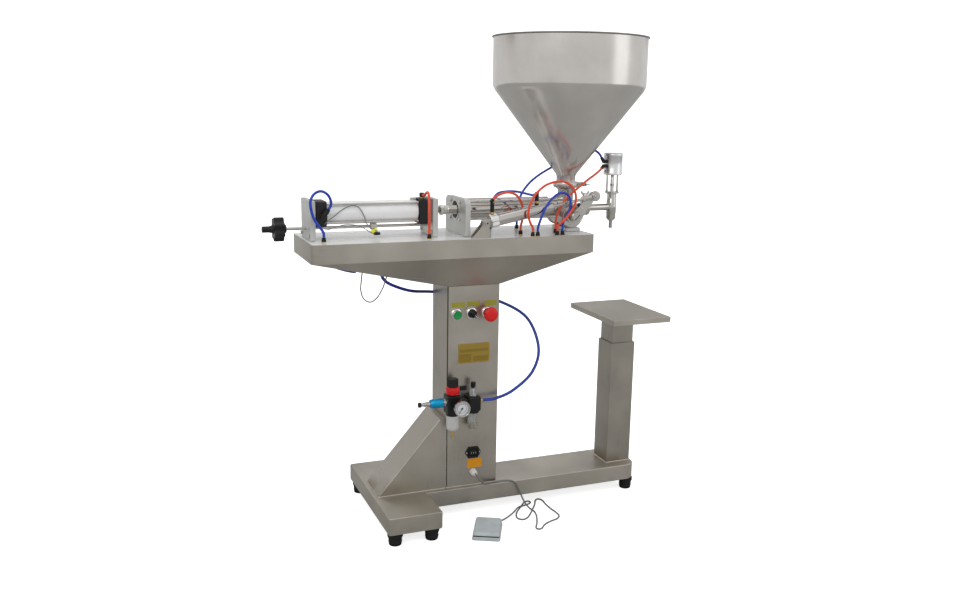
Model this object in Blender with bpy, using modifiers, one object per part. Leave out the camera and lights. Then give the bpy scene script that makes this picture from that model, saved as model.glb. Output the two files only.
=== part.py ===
"""Semi-automatic pneumatic piston filler on a column stand, in metres, +Z up.

The design is laid out in stand coordinates: the column's axis is x = 0, y = 0, the floor is z = 0, +X runs
along the table towards the nozzle and -Y is the front. An empty moves it all, so that the world origin is the
middle of the machine's footprint on the floor.
"""
import math

import bmesh
import bpy
from mathutils import Matrix, Vector

GAP = 0.0003                      # air left between pieces that touch
X = Vector((1, 0, 0))
Y = Vector((0, 1, 0))
Z = Vector((0, 0, 1))

# Overall extents, which place the origin
LEFT_END = -0.5456                # stroke knob's stub
RIGHT_END = 0.576                 # platform's right edge
FRONT_END = -0.2642               # foot pedal's front corner
BACK_END = 0.213                  # hopper's rim
ORIGIN = Vector(((LEFT_END + RIGHT_END) / 2, (FRONT_END + BACK_END) / 2, 0))

# Stand
FOOT_HEIGHT = 0.034
BASE_TOP = 0.080
CROSS_LEFT = -0.280
CROSS_RIGHT = -0.134
CROSS_HALF = 0.204
BEAM_RIGHT = 0.524
BEAM_HALF = 0.075
COLUMN_X = 0.075
COLUMN_Y = 0.060
COLUMN_TOP = 0.648
SHEET = 0.002

# Table
TABLE_LEFT = -0.447
TABLE_RIGHT = 0.3295
TABLE_HALF = 0.118
TABLE_TOP = 0.780
TABLE_RIM = 0.0485
TABLE_CORNER = 0.012

# Bottle platform and its post
POST_X = 0.480
POST_TOP = 0.446
POST_HALF = 0.039
SLEEVE_HALF = 0.0345
PLATFORM_X = (0.391, RIGHT_END)
PLATFORM_Y = (-0.134, 0.131)
PLATFORM_TOP = 0.537
PLATFORM_THICK = 0.015

# Air cylinder, piston train and product cylinder share one axis
DRIVE_Z = 0.845
CAP_HALF = 0.0325
BARREL_R = 0.028
REAR_CAP = (-0.415, -0.389)
FRONT_CAP = (-0.143, -0.115)
SUPPORT_X = (-0.033, -0.019)
PRODUCT_R = 0.026
PRODUCT_END = 0.2590

# Stroke setting
SCREW_Z = 0.8075
SCREW_R = 0.004

# Valve under the hopper, and the crank that turns it
VALVE_X = 0.292
VALVE_Z = 0.823
CRANK_PIN = Vector((0.3406, 0, 0.8815))
ACTUATOR_Y = -0.090
ACTUATOR_PIVOT = Vector((0.0174, ACTUATOR_Y, 0.8183))

# Hopper
HOPPER_X = 0.294
HOPPER_TOP = 1.304
HOPPER_R = 0.209
HOPPER_SHOULDER = 1.167
CONE_END = 0.933
NECK_R = 0.0264

# Nozzle
NOZZLE_X = 0.442
PIPE_Z = 0.8405

# Operator's buttons
BUTTON_Z = 0.5715
START_X = -0.0505
SELECTOR_X = -0.0065
STOP_X = 0.0380

# Foot pedal and cable gland
GLAND = Vector((0.0040, -COLUMN_Y - GAP, 0.1190))
GLAND_LENGTH = 0.0220
PEDAL = Vector((-0.0063, -0.2005, 0))
PEDAL_TURN = math.radians(-26.5)
PEDAL_HALF = (0.0375, 0.0525)

# Flexible lines
CABLE = 0.0045
AIR_LINE = 0.0080
SMALL_LINE = 0.0060
FITTING_TOP = TABLE_TOP + 0.0120  # top of each push-in fitting on the table
LINE_START = FITTING_TOP + 0.0008   # the ends of bent lines are never quite level
LINE_RISE = LINE_START + 0.0100   # each line stands straight up from its fitting to here

SIDES = 24                        # facets round a turned piece

STEEL = ("brushed_steel", (0.60, 0.58, 0.54), 0.38, 1.0)
BRIGHT = ("polished_steel", (0.72, 0.71, 0.69), 0.18, 1.0)
ALLOY = ("anodised_aluminium", (0.82, 0.82, 0.83), 0.35, 1.0)
PALE_ALLOY = ("pale_aluminium", (0.74, 0.75, 0.74), 0.45, 1.0)
BLACK = ("black_plastic", (0.02, 0.02, 0.022), 0.45, 0.0)
BLACK_ALLOY = ("black_anodised_alloy", (0.03, 0.03, 0.035), 0.40, 0.6)
RUBBER = ("black_rubber", (0.015, 0.015, 0.015), 0.80, 0.0)
GREEN = ("green_plastic", (0.02, 0.42, 0.12), 0.35, 0.0)
RED = ("red_plastic", (0.75, 0.04, 0.03), 0.32, 0.0)
CYAN = ("cyan_anodised_alloy", (0.01, 0.42, 0.72), 0.30, 0.7)
BLUE_TUBE = ("blue_tube", (0.02, 0.06, 0.42), 0.30, 0.0)
RED_TUBE = ("red_tube", (0.80, 0.13, 0.05), 0.30, 0.0)
GREY_CABLE = ("grey_cable", (0.42, 0.42, 0.41), 0.50, 0.0)
PEDAL_GREY = ("pale_grey_plastic", (0.62, 0.66, 0.68), 0.50, 0.0)

# Routes, as points chosen along each line
SUPPLY_ROUTE = [(0.0238, -0.083, 0.332), (0.060, -0.083, 0.333), (0.118, -0.070, 0.347),
                (0.190, -0.038, 0.385),
                (0.225, 0.000, 0.444), (0.205, 0.040, 0.522), (0.134, 0.072, 0.568), (0.040, 0.076, 0.594),
                (-0.072, 0.072, 0.609), (-0.139, 0.058, 0.618), (-0.198, 0.035, 0.641), (-0.226, 0.018,
                                                                                         0.660),
                (-0.238, 0.011, 0.6805)]
REAR_ROUTE = [(-0.388, -0.0465, 0.8573), (-0.381, -0.0475, 0.871), (-0.386, -0.055, 0.889),
              (-0.397, -0.060, 0.901),
              (-0.412, -0.064, 0.906), (-0.428, -0.068, 0.899), (-0.437, -0.070, 0.883), (-0.436, -0.071,
                                                                                          0.862),
              (-0.428, -0.072, 0.836), (-0.412, -0.072, 0.813), (-0.406, -0.071, LINE_RISE),
              (-0.406, -0.071, LINE_START)]
FRONT_ROUTE = [(-0.129, -0.0113, 0.886), (-0.129, -0.025, 0.887), (-0.130, -0.050, 0.897),
               (-0.132, -0.069, 0.893),
               (-0.134, -0.080, 0.868), (-0.135, -0.083, 0.830), (-0.134, -0.081, LINE_RISE),
               (-0.134, -0.081, LINE_START)]
VALVE_RED_ROUTE = [(0.146, -0.1095, LINE_START), (0.146, -0.1095, LINE_RISE), (0.138, -0.1125, 0.814),
                   (0.131, -0.1150, 0.829), (0.128, -0.1170, 0.847), (0.134, -0.1183, 0.870),
                   (0.149, -0.1185, 0.895), (0.174, -0.1185, 0.915), (0.202, -0.1185, 0.924),
                   (0.230, -0.1185, 0.924), (0.252, -0.1185, 0.912), (0.263, -0.1185, 0.896),
                   (0.266, -0.1185, 0.876), (0.261, -0.1170, 0.855), (0.242, -0.1150, 0.828),
                   (0.224, -0.1120, 0.812), (0.218, -0.1095, LINE_RISE), (0.218, -0.1095, LINE_START)]
VALVE_BLUE_ROUTE = [(0.161, -0.1085, LINE_START), (0.161, -0.1085, LINE_RISE), (0.170, -0.1107, 0.832),
                    (0.184, -0.1110, 0.861), (0.202, -0.1110, 0.882), (0.221, -0.1105, 0.893),
                    (0.240, -0.1095, 0.892), (0.252, -0.1080, 0.881), (0.256, -0.1075, 0.864),
                    (0.252, -0.1075, 0.842), (0.238, -0.1075, 0.820), (0.234, -0.1085, LINE_RISE),
                    (0.234, -0.1085, LINE_START)]
ACTUATOR_REAR_ROUTE = [(0.0385, -0.090, 0.8785), (0.047, -0.089, 0.886), (0.065, -0.085, 0.893),
                       (0.088, -0.078, 0.895), (0.112, -0.072, 0.887), (0.130, -0.068, 0.865),
                       (0.136, -0.066, 0.832), (0.130, -0.066, LINE_RISE), (0.130, -0.066, LINE_START)]
NOZZLE_BLUE_ROUTE = [(0.4006, -0.0066, 0.9804), (0.397, -0.004, 0.988), (0.391, 0.002, 0.996),
                     (0.383, 0.016, 1.001), (0.370, 0.036, 0.998), (0.349, 0.056, 0.985),
                     (0.318, 0.070, 0.966), (0.280, 0.073, 0.947), (0.240, 0.064, 0.928),
                     (0.205, 0.054, 0.905), (0.180, 0.048, 0.875), (0.169, 0.046, 0.838),
                     (0.168, 0.046, LINE_RISE), (0.168, 0.046, LINE_START)]
NOZZLE_RED_ROUTE = [(0.3974, -0.0150, 0.9512), (0.391, -0.0195, 0.947), (0.366, -0.036, 0.936),
                    (0.335, -0.051, 0.922), (0.299, -0.061, 0.900), (0.266, -0.062, 0.874),
                    (0.244, -0.063, 0.842), (0.235, -0.065, 0.816), (0.234, -0.066, LINE_RISE),
                    (0.234, -0.066, LINE_START)]
LIE = CABLE / 2 + 0.0004          # height of the cable's middle where it lies on the floor
OVER = LIE + 0.0058               # and where it passes over itself
CABLE_ROUTE = [(0.0040, -0.0828, 0.1190), (0.0045, -0.0960, 0.1170), (0.0120, -0.1040, 0.1060),
               (0.0260, -0.0960, 0.0920), (0.0420, -0.0790, 0.0842), (0.0600, -0.0710, 0.0830),
               (0.0850, -0.0700, 0.0830), (0.1060, -0.0735, 0.0832), (0.1210, -0.0797, 0.0800),
               (0.1320, -0.0825, 0.0660), (0.1410, -0.0835, 0.0450), (0.1490, -0.0870, 0.0250),
               (0.1570, -0.0970, 0.0090), (0.1640, -0.1110, LIE), (0.1660, -0.1300, LIE), (0.1580, -0.1600,
                                                                                           LIE),
               (0.1420, -0.1960, LIE), (0.1290, -0.2180, LIE), (0.1270, -0.2310, LIE), (0.1390, -0.2320, LIE),
               (0.1560, -0.2140, LIE), (0.1800, -0.2000, LIE), (0.2060, -0.1905, LIE), (0.2200, -0.1740, LIE),
               (0.2210, -0.1500, LIE), (0.2180, -0.1200, LIE), (0.2180, -0.0900, LIE), (0.2200, -0.0660, LIE),
               (0.2130, -0.0520, LIE), (0.2010, -0.0590, LIE), (0.1900, -0.0790, LIE), (0.1790, -0.0980,
                                                                                        0.0050),
               (0.1650, -0.1190, OVER), (0.1480, -0.1400, 0.0045), (0.1310, -0.1570, LIE), (0.1150, -0.1640,
                                                                                            LIE),
               (0.1040, -0.1530, LIE), (0.1070, -0.1350, LIE), (0.1180, -0.1150, LIE), (0.1350, -0.0940, LIE),
               (0.1540, -0.0720, LIE), (0.1680, -0.0580, LIE), (0.1800, -0.0570, LIE), (0.1810, -0.0680, LIE),
               (0.1660, -0.0770, LIE), (0.1470, -0.0860, 0.0050), (0.1285, -0.0985, OVER), (0.1080, -0.1150,
                                                                                            0.0045),
               (0.0840, -0.1330, LIE), (0.0640, -0.1480, 0.0040), (0.0500, -0.1570, 0.0060),
               (0.0436, -0.1634, 0.0065)]
HOSES = {
    "supply_hose": (SUPPLY_ROUTE, AIR_LINE, BLUE_TUBE),
    "rear_cap_hose": (REAR_ROUTE, SMALL_LINE, BLUE_TUBE),
    "front_cap_hose": (FRONT_ROUTE, SMALL_LINE, RED_TUBE),
    "valve_hose_red": (VALVE_RED_ROUTE, SMALL_LINE, RED_TUBE),
    "valve_hose_blue": (VALVE_BLUE_ROUTE, SMALL_LINE, BLUE_TUBE),
    "actuator_rear_hose": (ACTUATOR_REAR_ROUTE, SMALL_LINE, RED_TUBE),
    "nozzle_hose_blue": (NOZZLE_BLUE_ROUTE, SMALL_LINE, BLUE_TUBE),
    "nozzle_hose_red": (NOZZLE_RED_ROUTE, SMALL_LINE, RED_TUBE),
    "pedal_cable": (CABLE_ROUTE, CABLE, GREY_CABLE),
}
TABLE_FITTINGS = [route[-1] for route in (REAR_ROUTE, FRONT_ROUTE, VALVE_RED_ROUTE, VALVE_BLUE_ROUTE,
                                          ACTUATOR_REAR_ROUTE, NOZZLE_BLUE_ROUTE, NOZZLE_RED_ROUTE)]
TABLE_FITTINGS += [VALVE_RED_ROUTE[0], VALVE_BLUE_ROUTE[0]]


# ---------- scene ----------

def clear_scene():
    for obj in list(bpy.data.objects):
        bpy.data.objects.remove(obj, do_unlink=True)


def new_collection(name):
    collection = bpy.data.collections.new(name)
    bpy.context.scene.collection.children.link(collection)
    return collection


clear_scene()
PARTS = new_collection("piston_filler")
TOOLS = new_collection("cutters")
ROOT = bpy.data.objects.new("stand_coordinates", None)
ROOT.location = -ORIGIN
PARTS.objects.link(ROOT)


def material(finish):
    """One Principled material per finish, shared by the pieces that have it."""
    name, colour, roughness, metallic = finish
    found = bpy.data.materials.get(name)
    if found:
        return found
    made = bpy.data.materials.new(name)
    made.use_nodes = True
    shader = made.node_tree.nodes["Principled BSDF"]
    shader.inputs["Base Color"].default_value = (*colour, 1)
    shader.inputs["Roughness"].default_value = roughness
    shader.inputs["Metallic"].default_value = metallic
    return made


def place(name, mesh, finish, at=(0, 0, 0), turn=None):
    """A node of the machine: its mesh, finish and place in stand coordinates."""
    obj = bpy.data.objects.new(name, mesh)
    mesh.materials.clear()
    mesh.materials.append(material(finish))
    obj.parent = ROOT
    obj.location = at
    if turn is not None:
        obj.rotation_mode = "QUATERNION"
        obj.rotation_quaternion = turn
    PARTS.objects.link(obj)
    return obj


def as_tool(obj):
    """Moves a piece to the cutters' collection, out of the model."""
    PARTS.objects.unlink(obj)
    TOOLS.objects.link(obj)
    obj.hide_render = True
    obj.display_type = "WIRE"
    return obj


def cut(target, tool, operation="DIFFERENCE"):
    """Cuts the tool out of the target, or joins the two with UNION."""
    as_tool(tool)
    boolean = target.modifiers.new(operation.lower() + "_" + tool.name, "BOOLEAN")
    boolean.object = tool
    boolean.operation = operation
    boolean.solver = "EXACT"
    return target


def weld(target, *tools):
    for tool in tools:
        cut(target, tool, "UNION")
    return target


# ---------- shapes ----------

def box(name, low, high, finish=STEEL, bevel=0.0, at=(0, 0, 0), turn=None):
    """A box between two corners, given relative to at."""
    low = Vector(low)
    size = Vector(high) - low
    mesh = bpy.data.meshes.new(name)
    shape = bmesh.new()
    bmesh.ops.create_cube(shape, size=1.0,
                          matrix=Matrix.Translation(low + size / 2) @ Matrix.Diagonal((*size, 1)))
    shape.to_mesh(mesh)
    shape.free()
    obj = place(name, mesh, finish, at, turn)
    if bevel:
        edge = obj.modifiers.new("edges", "BEVEL")
        edge.width = bevel
        edge.segments = 1
        edge.limit_method = "ANGLE"
    return obj


def turned(name, at, axis, profile, finish=STEEL, hollow=False, sides=SIDES):
    """A profile of (radius, height) points turned about axis through at.

    A solid's profile runs from its top on the axis, down its outer side, to its bottom on the axis. A hollow
    piece's profile is a closed ring, listed down the outside and then up the inside.
    """
    mesh = bpy.data.meshes.new(name)
    shape = bmesh.new()
    points = [shape.verts.new((radius, 0, height)) for radius, height in profile]
    for first, second in zip(points, points[1:]):
        shape.edges.new((first, second))
    if hollow:
        shape.edges.new((points[-1], points[0]))
    shape.to_mesh(mesh)
    shape.free()
    obj = place(name, mesh, finish, at, Z.rotation_difference(Vector(axis).normalized()))
    screw = obj.modifiers.new("turn", "SCREW")
    screw.steps = sides
    screw.render_steps = sides
    screw.use_merge_vertices = True
    screw.merge_threshold = 0.00001
    screw.use_smooth_shade = False
    return obj


def rod(name, at, axis, radius, low, high, finish=STEEL, sides=SIDES):
    """A plain cylinder from low to high along axis."""
    return turned(name, at, axis, [(0, high), (radius, high), (radius, low), (0, low)], finish, sides=sides)


def ring(name, at, axis, outer, inner, low, high, finish=STEEL, sides=SIDES):
    """A plain tube from low to high along axis."""
    profile = [(outer, high), (outer, low), (inner, low), (inner, high)]
    return turned(name, at, axis, profile, finish, hollow=True, sides=sides)


def to_mesh(obj):
    """The same piece as a mesh with welded caps, so that it can be cut or joined."""
    evaluated = obj.evaluated_get(bpy.context.evaluated_depsgraph_get())
    mesh = bpy.data.meshes.new_from_object(evaluated)
    shape = bmesh.new()
    shape.from_mesh(mesh)
    bmesh.ops.remove_doubles(shape, verts=shape.verts, dist=0.00001)
    shape.to_mesh(mesh)
    shape.free()
    made = bpy.data.objects.new(obj.name + "_mesh", mesh)
    PARTS.objects.link(made)
    made.parent = ROOT
    made.location = obj.location
    made.rotation_mode = obj.rotation_mode
    made.rotation_euler = obj.rotation_euler
    name = obj.name
    bpy.data.objects.remove(obj, do_unlink=True)
    made.name = name
    return made


def outline(name, points, thickness, finish=STEEL, at=(0, 0, 0), turn=(0, 0, 0)):
    """A flat plate: closed outline in its own XY plane, centred on its thickness."""
    curve = bpy.data.curves.new(name, "CURVE")
    curve.dimensions = "2D"
    curve.fill_mode = "BOTH"
    curve.extrude = thickness / 2
    curve.resolution_u = 1
    spline = curve.splines.new("POLY")
    spline.points.add(len(points) - 1)
    for point, (across, up) in zip(spline.points, points):
        point.co = (across, up, 0, 1)
    spline.use_cyclic_u = True
    curve.materials.append(material(finish))
    obj = bpy.data.objects.new(name, curve)
    obj.parent = ROOT
    obj.location = at
    obj.rotation_euler = turn
    PARTS.objects.link(obj)
    bpy.context.view_layer.update()
    return to_mesh(obj)


UPRIGHT = (math.pi / 2, 0, 0)     # turns an outline's (x, y) into stand (x, z), facing -Y
FACING_X = (math.pi / 2, 0, math.pi / 2)      # turns an outline's (x, y) into stand (y, z), facing +X


def arc(centre, radius, start, end, steps=6):
    """Points on an arc, angles in degrees."""
    angles = [math.radians(start + (end - start) * i / steps) for i in range(steps + 1)]
    return [(centre[0] + radius * math.cos(a), centre[1] + radius * math.sin(a)) for a in angles]


def rounded(low, high, radius, steps=4):
    """A rectangle with round corners, anticlockwise from the lower right."""
    corners = [((high[0], low[1]), -90), ((high[0], high[1]), 0), ((low[0], high[1]), 90),
               ((low[0], low[1]), 180)]
    points = []
    for (x, y), start in corners:
        centre = (x - math.copysign(radius, x - (low[0] + high[0]) / 2),
                  y - math.copysign(radius, y - (low[1] + high[1]) / 2))
        points += arc(centre, radius, start, start + 90, steps)
    return points


def smooth_route(points, spacing):
    """Points a fixed distance apart along a smooth curve through the given ones."""
    given = [Vector(p) for p in points]
    ends = [2 * given[0] - given[1], *given, 2 * given[-1] - given[-2]]
    fine = []
    for before, start, end, after in zip(ends, ends[1:], ends[2:], ends[3:]):
        for i in range(20):
            t = i / 20
            linear = (end - before) * t
            square = (2 * before - 5 * start + 4 * end - after) * t ** 2
            cubic = (3 * start - before - 3 * end + after) * t ** 3
            fine.append(0.5 * (2 * start + linear + square + cubic))
    fine.append(given[-1])
    lengths = [0.0]
    for first, second in zip(fine, fine[1:]):
        lengths.append(lengths[-1] + (second - first).length)
    count = max(3, round(lengths[-1] / spacing))
    route = []
    for i in range(count + 1):
        wanted = lengths[-1] * i / count
        k = min(range(len(lengths)), key=lambda j: abs(lengths[j] - wanted))
        route.append(fine[k])
    return route


def hose(name, route, diameter, finish, spacing=2.6):
    """A flexible tube along a smooth route, with filled ends."""
    curve = bpy.data.curves.new(name, "CURVE")
    curve.dimensions = "3D"
    curve.bevel_depth = diameter / 2
    curve.bevel_resolution = 2
    curve.use_fill_caps = True
    curve.resolution_u = 1
    points = smooth_route(route, diameter * spacing)
    spline = curve.splines.new("POLY")
    spline.points.add(len(points) - 1)
    for point, position in zip(spline.points, points):
        point.co = (*position, 1)
    curve.materials.append(material(finish))
    obj = bpy.data.objects.new(name, curve)
    obj.parent = ROOT
    PARTS.objects.link(obj)
    return obj


def port(name, route, radius, length):
    """The push-in collar that a hose starts from, in line with the hose."""
    start, following = Vector(route[0]), Vector(route[1])
    return rod(name, start, following - start, radius, -length, -GAP, BLACK, sides=12)


# ---------- stand ----------

def base_outline(inset):
    """The base's T shape seen from above, drawn in by inset: a cross box and a beam with round corners."""
    half, left, right, across = BEAM_HALF - inset, CROSS_LEFT + inset, CROSS_RIGHT - inset, CROSS_HALF - inset
    end = rounded((0, -half), (BEAM_RIGHT - inset, half), 0.035 - inset)[:10]
    return [(right, half), (right, across), (left, across), (left, -across), (right, -across), (right, -half),
            *end]


def build_base():
    """A hollow welded box on six feet, with a drain hole underneath."""
    thickness = BASE_TOP - FOOT_HEIGHT
    middle = FOOT_HEIGHT + thickness / 2
    wall = 0.003
    base = outline("base_frame", base_outline(0), thickness, at=(0, 0, middle))
    cut(base, outline("base_inside", base_outline(wall), thickness - 2 * wall, at=(0, 0, middle)))
    cut(base, rod("drain_hole", (0.2, 0, 0), Z, 0.006, FOOT_HEIGHT - 0.01, middle))
    inset = 0.023
    spots = {
        "foot_left_front": (CROSS_LEFT + inset, -CROSS_HALF + inset),
        "foot_left_back": (CROSS_LEFT + inset, CROSS_HALF - inset),
        "foot_middle_front": (CROSS_RIGHT - inset, -CROSS_HALF + inset),
        "foot_middle_back": (CROSS_RIGHT - inset, CROSS_HALF - inset),
        "foot_right_front": (BEAM_RIGHT - inset, -BEAM_HALF + inset),
        "foot_right_back": (BEAM_RIGHT - inset, BEAM_HALF - inset),
    }
    top = FOOT_HEIGHT - GAP
    for name, (x, y) in spots.items():
        turned(name, (x, y, 0), Z, [(0, top), (0.0205, top), (0.016, 0), (0, 0)], RUBBER, sides=20)


def build_column():
    low = BASE_TOP + GAP
    column = box("column", (-COLUMN_X, -COLUMN_Y + SHEET, low), (COLUMN_X, COLUMN_Y, COLUMN_TOP))
    inside = box("column_inside", (-COLUMN_X + SHEET, -0.1, low + SHEET),
                 (COLUMN_X - SHEET, COLUMN_Y - SHEET, COLUMN_TOP - SHEET))
    cut(column, inside)
    cover = box("column_cover", (-COLUMN_X + 0.0015, -COLUMN_Y, low),
                (COLUMN_X, -COLUMN_Y + SHEET - GAP, COLUMN_TOP - GAP))
    bezel = [(0.0145, 0.0060), (0.0145, -SHEET / 2), (0.0115, -SHEET / 2), (0.0115, 0.0060)]
    for number, x in enumerate((START_X, SELECTOR_X, STOP_X)):
        weld(cover, turned(f"bezel_{number}", (x, -COLUMN_Y, BUTTON_Z), -Y, bezel, hollow=True, sides=20))
    weld(cover, outline("mains_inlet",
                        [(-0.0195, 0.1755), (-0.0100, 0.1590), (0.0180, 0.1590), (0.0275, 0.1755),
                                        (0.0180, 0.1920), (-0.0100, 0.1920)], 0.0080, BLACK,
                        at=(0, -COLUMN_Y - 0.0030, 0), turn=UPRIGHT))
    gusset_top = 0.281
    side = -COLUMN_X + 0.0010
    weld(column, outline("side_gusset",
                         [(-0.268, low), (side, low), (side, gusset_top), (-0.094, gusset_top)],
                         2 * COLUMN_Y, turn=UPRIGHT))
    hollow = [(-0.262, low + SHEET), (0.005 - COLUMN_X, low + SHEET), (0.005 - COLUMN_X, gusset_top - SHEET),
              (-0.0952, gusset_top - SHEET)]
    cut(column, outline("gusset_inside", hollow, 2 * (COLUMN_Y - SHEET), turn=UPRIGHT))


def build_table():
    """A tray of sheet metal: straight rim, underside drawn in to the column's top, a plate let into it."""
    rim = TABLE_TOP - TABLE_RIM
    foot = COLUMN_TOP + GAP
    levels = [
        (rounded((-COLUMN_X, -COLUMN_Y), (COLUMN_X, COLUMN_Y), 0.004), foot),
        (rounded((TABLE_LEFT, -TABLE_HALF), (TABLE_RIGHT, TABLE_HALF), TABLE_CORNER), rim),
        (rounded((TABLE_LEFT, -TABLE_HALF), (TABLE_RIGHT, TABLE_HALF), TABLE_CORNER), TABLE_TOP),
    ]
    mesh = bpy.data.meshes.new("table_tray")
    shape = bmesh.new()
    rings = [[shape.verts.new((x, y, z)) for x, y in points] for points, z in levels]
    shape.faces.new(list(reversed(rings[0])))
    for lower, upper in zip(rings, rings[1:]):
        for i in range(len(lower)):
            j = (i + 1) % len(lower)
            shape.faces.new((lower[i], lower[j], upper[j], upper[i]))
    shape.to_mesh(mesh)
    shape.free()
    tray = place("table_tray", mesh, STEEL)
    sheet = tray.modifiers.new("sheet", "SOLIDIFY")
    sheet.thickness = SHEET
    sheet.offset = -1
    sheet.use_even_offset = True
    lip = SHEET + GAP
    plate = rounded((TABLE_LEFT + lip, -TABLE_HALF + lip), (TABLE_RIGHT - lip, TABLE_HALF - lip),
                    TABLE_CORNER - lip)
    top = outline("table_plate", plate, SHEET, at=(0, 0, TABLE_TOP - SHEET / 2))
    for number, (x, y, _) in enumerate(TABLE_FITTINGS):
        weld(top, rod(f"table_fitting_{number}", (x, y, 0), Z, 0.0060, TABLE_TOP - SHEET / 2, FITTING_TOP,
                      BLACK,
                      sides=12))


def build_platform():
    low = BASE_TOP + GAP
    outer = box("post_outer", (-POST_HALF, -POST_HALF, low), (POST_HALF, POST_HALF, POST_TOP),
                at=(POST_X, 0, 0))
    wall = SLEEVE_HALF + GAP
    cut(outer, box("post_bore", (-wall, -wall, low + SHEET), (wall, wall, POST_TOP + 0.01),
                   at=(POST_X, 0, 0)))
    under = PLATFORM_TOP - PLATFORM_THICK
    skin = PLATFORM_TOP - SHEET
    bottom = 0.165
    inner = box("bottle_platform", (-SLEEVE_HALF, -SLEEVE_HALF, bottom),
                (SLEEVE_HALF, SLEEVE_HALF, skin + 0.001),
                at=(POST_X, 0, 0))
    wall = SLEEVE_HALF - SHEET
    cut(inner, box("sleeve_bore", (-wall, -wall, bottom - 0.01), (wall, wall, under - SHEET),
                   at=(POST_X, 0, 0)))
    plate = box("platform_plate", (PLATFORM_X[0], PLATFORM_Y[0], under),
                (PLATFORM_X[1], PLATFORM_Y[1], PLATFORM_TOP),
                bevel=0.0008)
    cut(plate, box("plate_inside", (PLATFORM_X[0] + SHEET, PLATFORM_Y[0] + SHEET, under - 0.01),
                   (PLATFORM_X[1] - SHEET, PLATFORM_Y[1] - SHEET, skin)))
    weld(inner, plate)


# ---------- air cylinder and piston train ----------

def build_air_cylinder():
    axis = (0, 0, DRIVE_Z)
    rear = box("cylinder_rear_plate", (-0.435, -0.050, TABLE_TOP + GAP), (-0.421, 0.060, 0.880), PALE_ALLOY,
               0.001)
    cut(rear, rod("screw_hole", (0, 0, SCREW_Z), X, SCREW_R + 0.0004, -0.45, -0.41))
    front = box("cylinder_front_plate", (-0.114, -0.0535, TABLE_TOP + GAP), (-0.100, 0.0535, 0.880),
                PALE_ALLOY,
                0.001)
    cut(front, rod("front_hole", axis, X, 0.0105, -0.13, -0.09))
    for name, (start, end) in {"cylinder_rear_cap": REAR_CAP, "cylinder_front_cap": FRONT_CAP}.items():
        cap = box(name, (start, -CAP_HALF, -CAP_HALF), (end, CAP_HALF, CAP_HALF), BLACK_ALLOY, 0.003, at=axis)
        if name == "cylinder_front_cap":
            cut(cap, rod("cap_hole", axis, X, 0.0085, start - 0.01, end + 0.01))
            weld(cap, box("front_elbow", (-0.1350, -0.0110, CAP_HALF - 0.001), (-0.1230, 0.0110, 0.0470),
                          BLACK,
                          at=(0, 0, DRIVE_Z)))
        else:
            weld(cap, rod("rear_elbow", (-0.4020, 0, 0.8400), Y, 0.0065, -0.0530, -CAP_HALF + 0.001, BLACK,
                          sides=16))
            weld(cap, port("rear_elbow_arm", REAR_ROUTE, 0.0055, 0.0220))
    ring("cylinder_barrel", axis, X, BARREL_R, BARREL_R - 0.0025, REAR_CAP[1] + GAP, FRONT_CAP[0] - GAP,
         ALLOY)


def build_piston_train():
    axis = (0, 0, DRIVE_Z)
    bore = BARREL_R - 0.0025
    head = -0.386
    profile = [(0, -0.0782), (0.008, -0.0782), (0.008, head + 0.022), (bore - 0.0005, head + 0.022),
               (bore - 0.0005, head), (0, head)]
    turned("cylinder_piston_rod", axis, X, profile, BRIGHT)
    coupling = [(0, -0.029), (0.012, -0.029), (0.012, -0.069), (0.0145, -0.069), (0.0145, -0.0779),
                (0, -0.0779)]
    turned("rod_coupling", axis, X, coupling, BRIGHT)
    bore = PRODUCT_R - 0.0025
    head = 0.036
    profile = [(0, head + 0.024), (bore - 0.0006, head + 0.024), (bore - 0.0006, head), (0.008, head),
               (0.008, -0.0287), (0, -0.0287)]
    turned("product_piston", axis, X, profile, BRIGHT)


def build_product_cylinder():
    axis = (0, 0, DRIVE_Z)
    half = 0.0770
    foot = TABLE_TOP + GAP
    points = [(-half, foot), (half, foot), (half, 0.868), (half - 0.010, 0.8785), (-half + 0.010, 0.8785),
              (-half, 0.868)]
    middle = sum(SUPPORT_X) / 2
    plate = outline("product_cylinder_support", points, SUPPORT_X[1] - SUPPORT_X[0], PALE_ALLOY,
                    at=(middle, 0, 0), turn=FACING_X)
    cut(plate, rod("support_hole", axis, X, PRODUCT_R - 0.002, -0.05, 0.0))
    ring("product_cylinder", axis, X, PRODUCT_R, PRODUCT_R - 0.0025, SUPPORT_X[1] + GAP, PRODUCT_END, BRIGHT)


def build_stroke_setting():
    centre = (0, 0, SCREW_Z)
    lobes = 7
    root, tip = 0.025, 0.031
    points = []
    for i in range(lobes * 6):
        angle = 2 * math.pi * i / (lobes * 6)
        radius = (root + tip) / 2 + (tip - root) / 2 * math.cos(lobes * angle)
        points.append((radius * math.cos(angle), radius * math.sin(angle)))
    knob = outline("stroke_knob", points, 0.026, BLACK, at=(-0.505, 0, SCREW_Z), turn=FACING_X)
    stub = [(0, -0.486), (0.011, -0.486), (0.011, -0.519), (0.0075, -0.530), (0.0075, LEFT_END),
            (0, LEFT_END)]
    weld(knob, turned("knob_boss", centre, X, stub, BLACK))
    weld(knob, rod("stroke_screw", centre, X, SCREW_R, -0.4900, FRONT_CAP[1], BRIGHT, sides=16))
    carriage = box("sensor_carriage", (-0.273, -0.014, 0.7885), (-0.247, 0.010, 0.8155), BLACK, 0.001)
    arm = box("sensor_arm", (-0.266, -0.040, 0.7885), (-0.254, -0.013, 0.8115), BLACK)
    weld(carriage, arm)
    cut(carriage, rod("nut_thread", centre, X, SCREW_R + 0.0003, -0.30, -0.22, sides=16))


# ---------- valve, crank and its actuator ----------

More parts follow.
